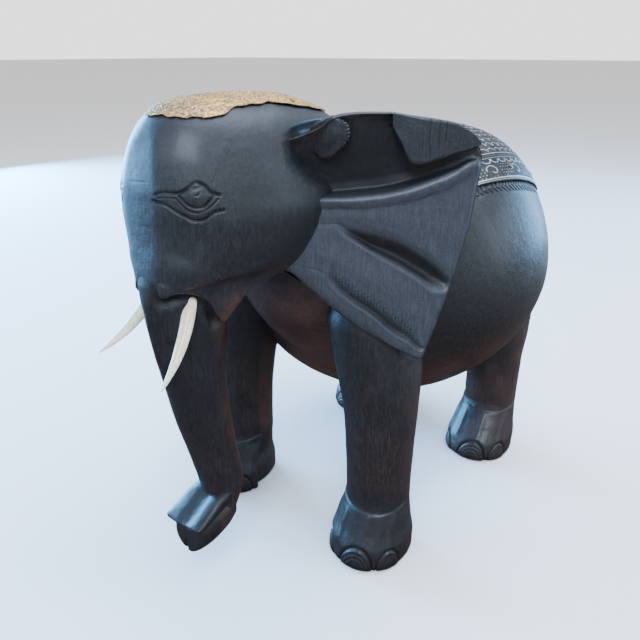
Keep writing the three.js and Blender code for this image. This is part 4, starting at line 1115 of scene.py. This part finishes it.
def back_at(angle, y, lift):
    """A point of the back at an angle from the top and a place along it."""
    reach = np.arcsin(np.clip((y - BARREL["y"]) / BARREL["long"], -1, 1)) / UP
    points = barrel(UP - angle, reach)
    wide, under, top = columns(NECK, points[..., 1])
    turn = UP - angle
    neck_x = wide * np.cos(turn)
    neck_z = (top + under + (top - under) * np.sin(turn)) / 2
    here = points[..., 0] ** 2 + (points[..., 2] - NECK_AXIS) ** 2
    inside = (points[..., 1] < 40) & (neck_x ** 2 + (neck_z - NECK_AXIS) ** 2 > here)
    points[..., 0] = np.where(inside, neck_x, points[..., 0])
    points[..., 2] = np.where(inside, neck_z, points[..., 2])
    out = normals(points, wraps=False)
    return points + out * lift[..., None]


across = np.linspace(-1, 1, 270)[None]
along = np.linspace(0, 1, 140)[:, None]
rear = SADDLE["rear"] + SADDLE["sag"] * (1 - across ** 2)
y = SADDLE["front"] + (rear - SADDLE["front"]) * along
angle = (SADDLE["angle_front"] + (SADDLE["angle_rear"] - SADDLE["angle_front"]) * along) * across
up_side = (1 - np.abs(across)) * 168 + 0 * along
from_rear = (1 - along) * (rear - SADDLE["front"])
from_front = along * (rear - SADDLE["front"])


border = np.minimum(np.minimum(up_side, from_rear), from_front)
pattern = np.maximum(ridge(border - 2.0, 0.7), ridge(border - 5.0, 0.6))
cell_x, cell_y = (y / 13.0) % 1 - 0.5, up_side
scales = np.hypot(cell_x * 13.0, cell_y - 33)
scale_row = ridge(scales - 6.0, 0.65) * (cell_y < 33.5)
scale_row2 = ridge(scales - 4.0, 0.4) * (cell_y < 33.5) * 0.6
bars = ridge(cell_y - 35.5, 0.7)
dots_x, dots_y = (y / 4.4) % 1 - 0.5, (up_side / 4.4) % 1 - 0.5
patch = ((y // 22) % 2 == 0) * (up_side > 8) * (up_side < 25)
dots = ridge(np.hypot(dots_x, dots_y) * 4.4, 1.0) * patch
swirl_x, swirl_y = (y % 44) - 33, up_side - 16
swirl = ridge(np.hypot(swirl_x, swirl_y) - 5.5 - 1.2 * np.arctan2(swirl_y, swirl_x), 0.7)
swirl = swirl * (1 - patch) * (up_side > 8) * (up_side < 26)
leaves = ridge(((y + up_side) / 5.5 % 1 - 0.5) * 5.5, 0.6) * (up_side > 5.5) * (up_side < 8.5)
field_x, field_y = ((y + (np.floor(up_side / 11) % 2) * 6) / 12.0) % 1 - 0.5, (up_side / 11.0) % 1
field = ridge(np.hypot(field_x * 12.0, (field_y - 0.15) * 11) - 5.6, 0.6)
field = field * (field_y > 0.1) * (up_side > 46)
band = ridge(np.abs((up_side - 40.5)) - 2.2, 0.5)
inside = rise(border, 6.5, 7.5)
for drawn in (scale_row, scale_row2, bars, dots, swirl, leaves, field, band):
    pattern = np.maximum(pattern, drawn * inside)
lift = 1.8 + 0.5 * pattern + 0.25 * waves(xyz(angle * 180, y, 0 * y), 14, 51)
upper_face = back_at(angle, y, lift)
lower_face = back_at(angle, y, lift * 0 + 0.5)
rings = slab_rings(upper_face, lower_face)
skin("saddle_pewter_embossed", rings, PEWTER, slot="pewter_sheet", stands_for=("saddle_cloth",),
     raised=slab_mark(pattern))

# %% [markdown]
# The tail hangs straight down the rump and ends in a tuft, scored with slanted lines.
# %% Tail
# step, y, z, radius, lean in degrees
TAIL = [(0, 252, 328, 10, 90), (1, 265, 322, 10, 60), (2, 270, 306, 9, 20), (3, 268, 252, 7, 0),
        (4, 264, 212, 6.5, 0), (5, 262, 190, 9, 0), (6, 261, 174, 6, 0), (7, 261, 168, 1.5, 0)]
step = np.linspace(0, 7, 200)
y, z, radius, lean = columns(TAIL, step)[..., None]
turn = full_turn(60)
flat = radius * np.sin(turn)
surface = xyz(radius * np.cos(turn), y + flat * np.cos(lean * deg), z + flat * np.sin(lean * deg))
tuft = fade(z, 206, 214) + 0 * turn
strands = np.abs(np.sin(turn * 5 + z / 14)) * tuft
rings_cut = slots((z + 2.5 * np.sin(turn)) / 9, 0.12) * (1 - tuft) * (z < 300)
surface = surface + normals(surface) * (-0.9 * rings_cut - 1.0 * (1 - strands) * tuft)[..., None]
# painted shade: the scored rings and the gaps between the tuft's strands are painted dark
skin("tail_carved", surface, EBONY, stands_for=("tail",),
     cut=0.7 * rings_cut + 0.5 * (1 - strands) * tuft, warm=tuft * 0.4)

# %% [markdown]
# What is left of the frame keeps its own shape: tacks, and the dowels hidden in the joints.
# They only need a finish.
# %% Tacks and dowels


def tack_metal():
    """Old brass, flecked with brown at random."""
    metal = Finish("tack_brass_dull")
    speck = metal.noise(metal.place(), 0.0011, 2, 0.6)
    base = metal.mix(speck.between(0.35, 0.7), (0.42, 0.30, 0.13), (0.18, 0.12, 0.07))
    return metal.dress(Base_Color=base, Metallic=0.9, Roughness=speck * 0.3 + 0.25)


def dowel_beech():
    """Pale beech with fine brown flecks."""
    beech = Finish("dowel_beech")
    fleck = beech.noise(beech.place((1, 1, 0.1)), 0.0012, 3, 0.6)
    base = beech.mix(fleck.between(0.4, 0.7), (0.55, 0.38, 0.22), (0.36, 0.22, 0.12))
    return beech.dress(Base_Color=base, Roughness=fleck * 0.2 + 0.5)


TACK_METAL, BEECH = tack_metal(), dowel_beech()
for name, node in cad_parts.items():
    finish = TACK_METAL if "tack" in name else BEECH if "dowel" in name else EBONY
    node.data.materials.clear()
    node.data.materials.append(finish)
print("shown frame nodes:", sum(not n.hide_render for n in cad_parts.values()))
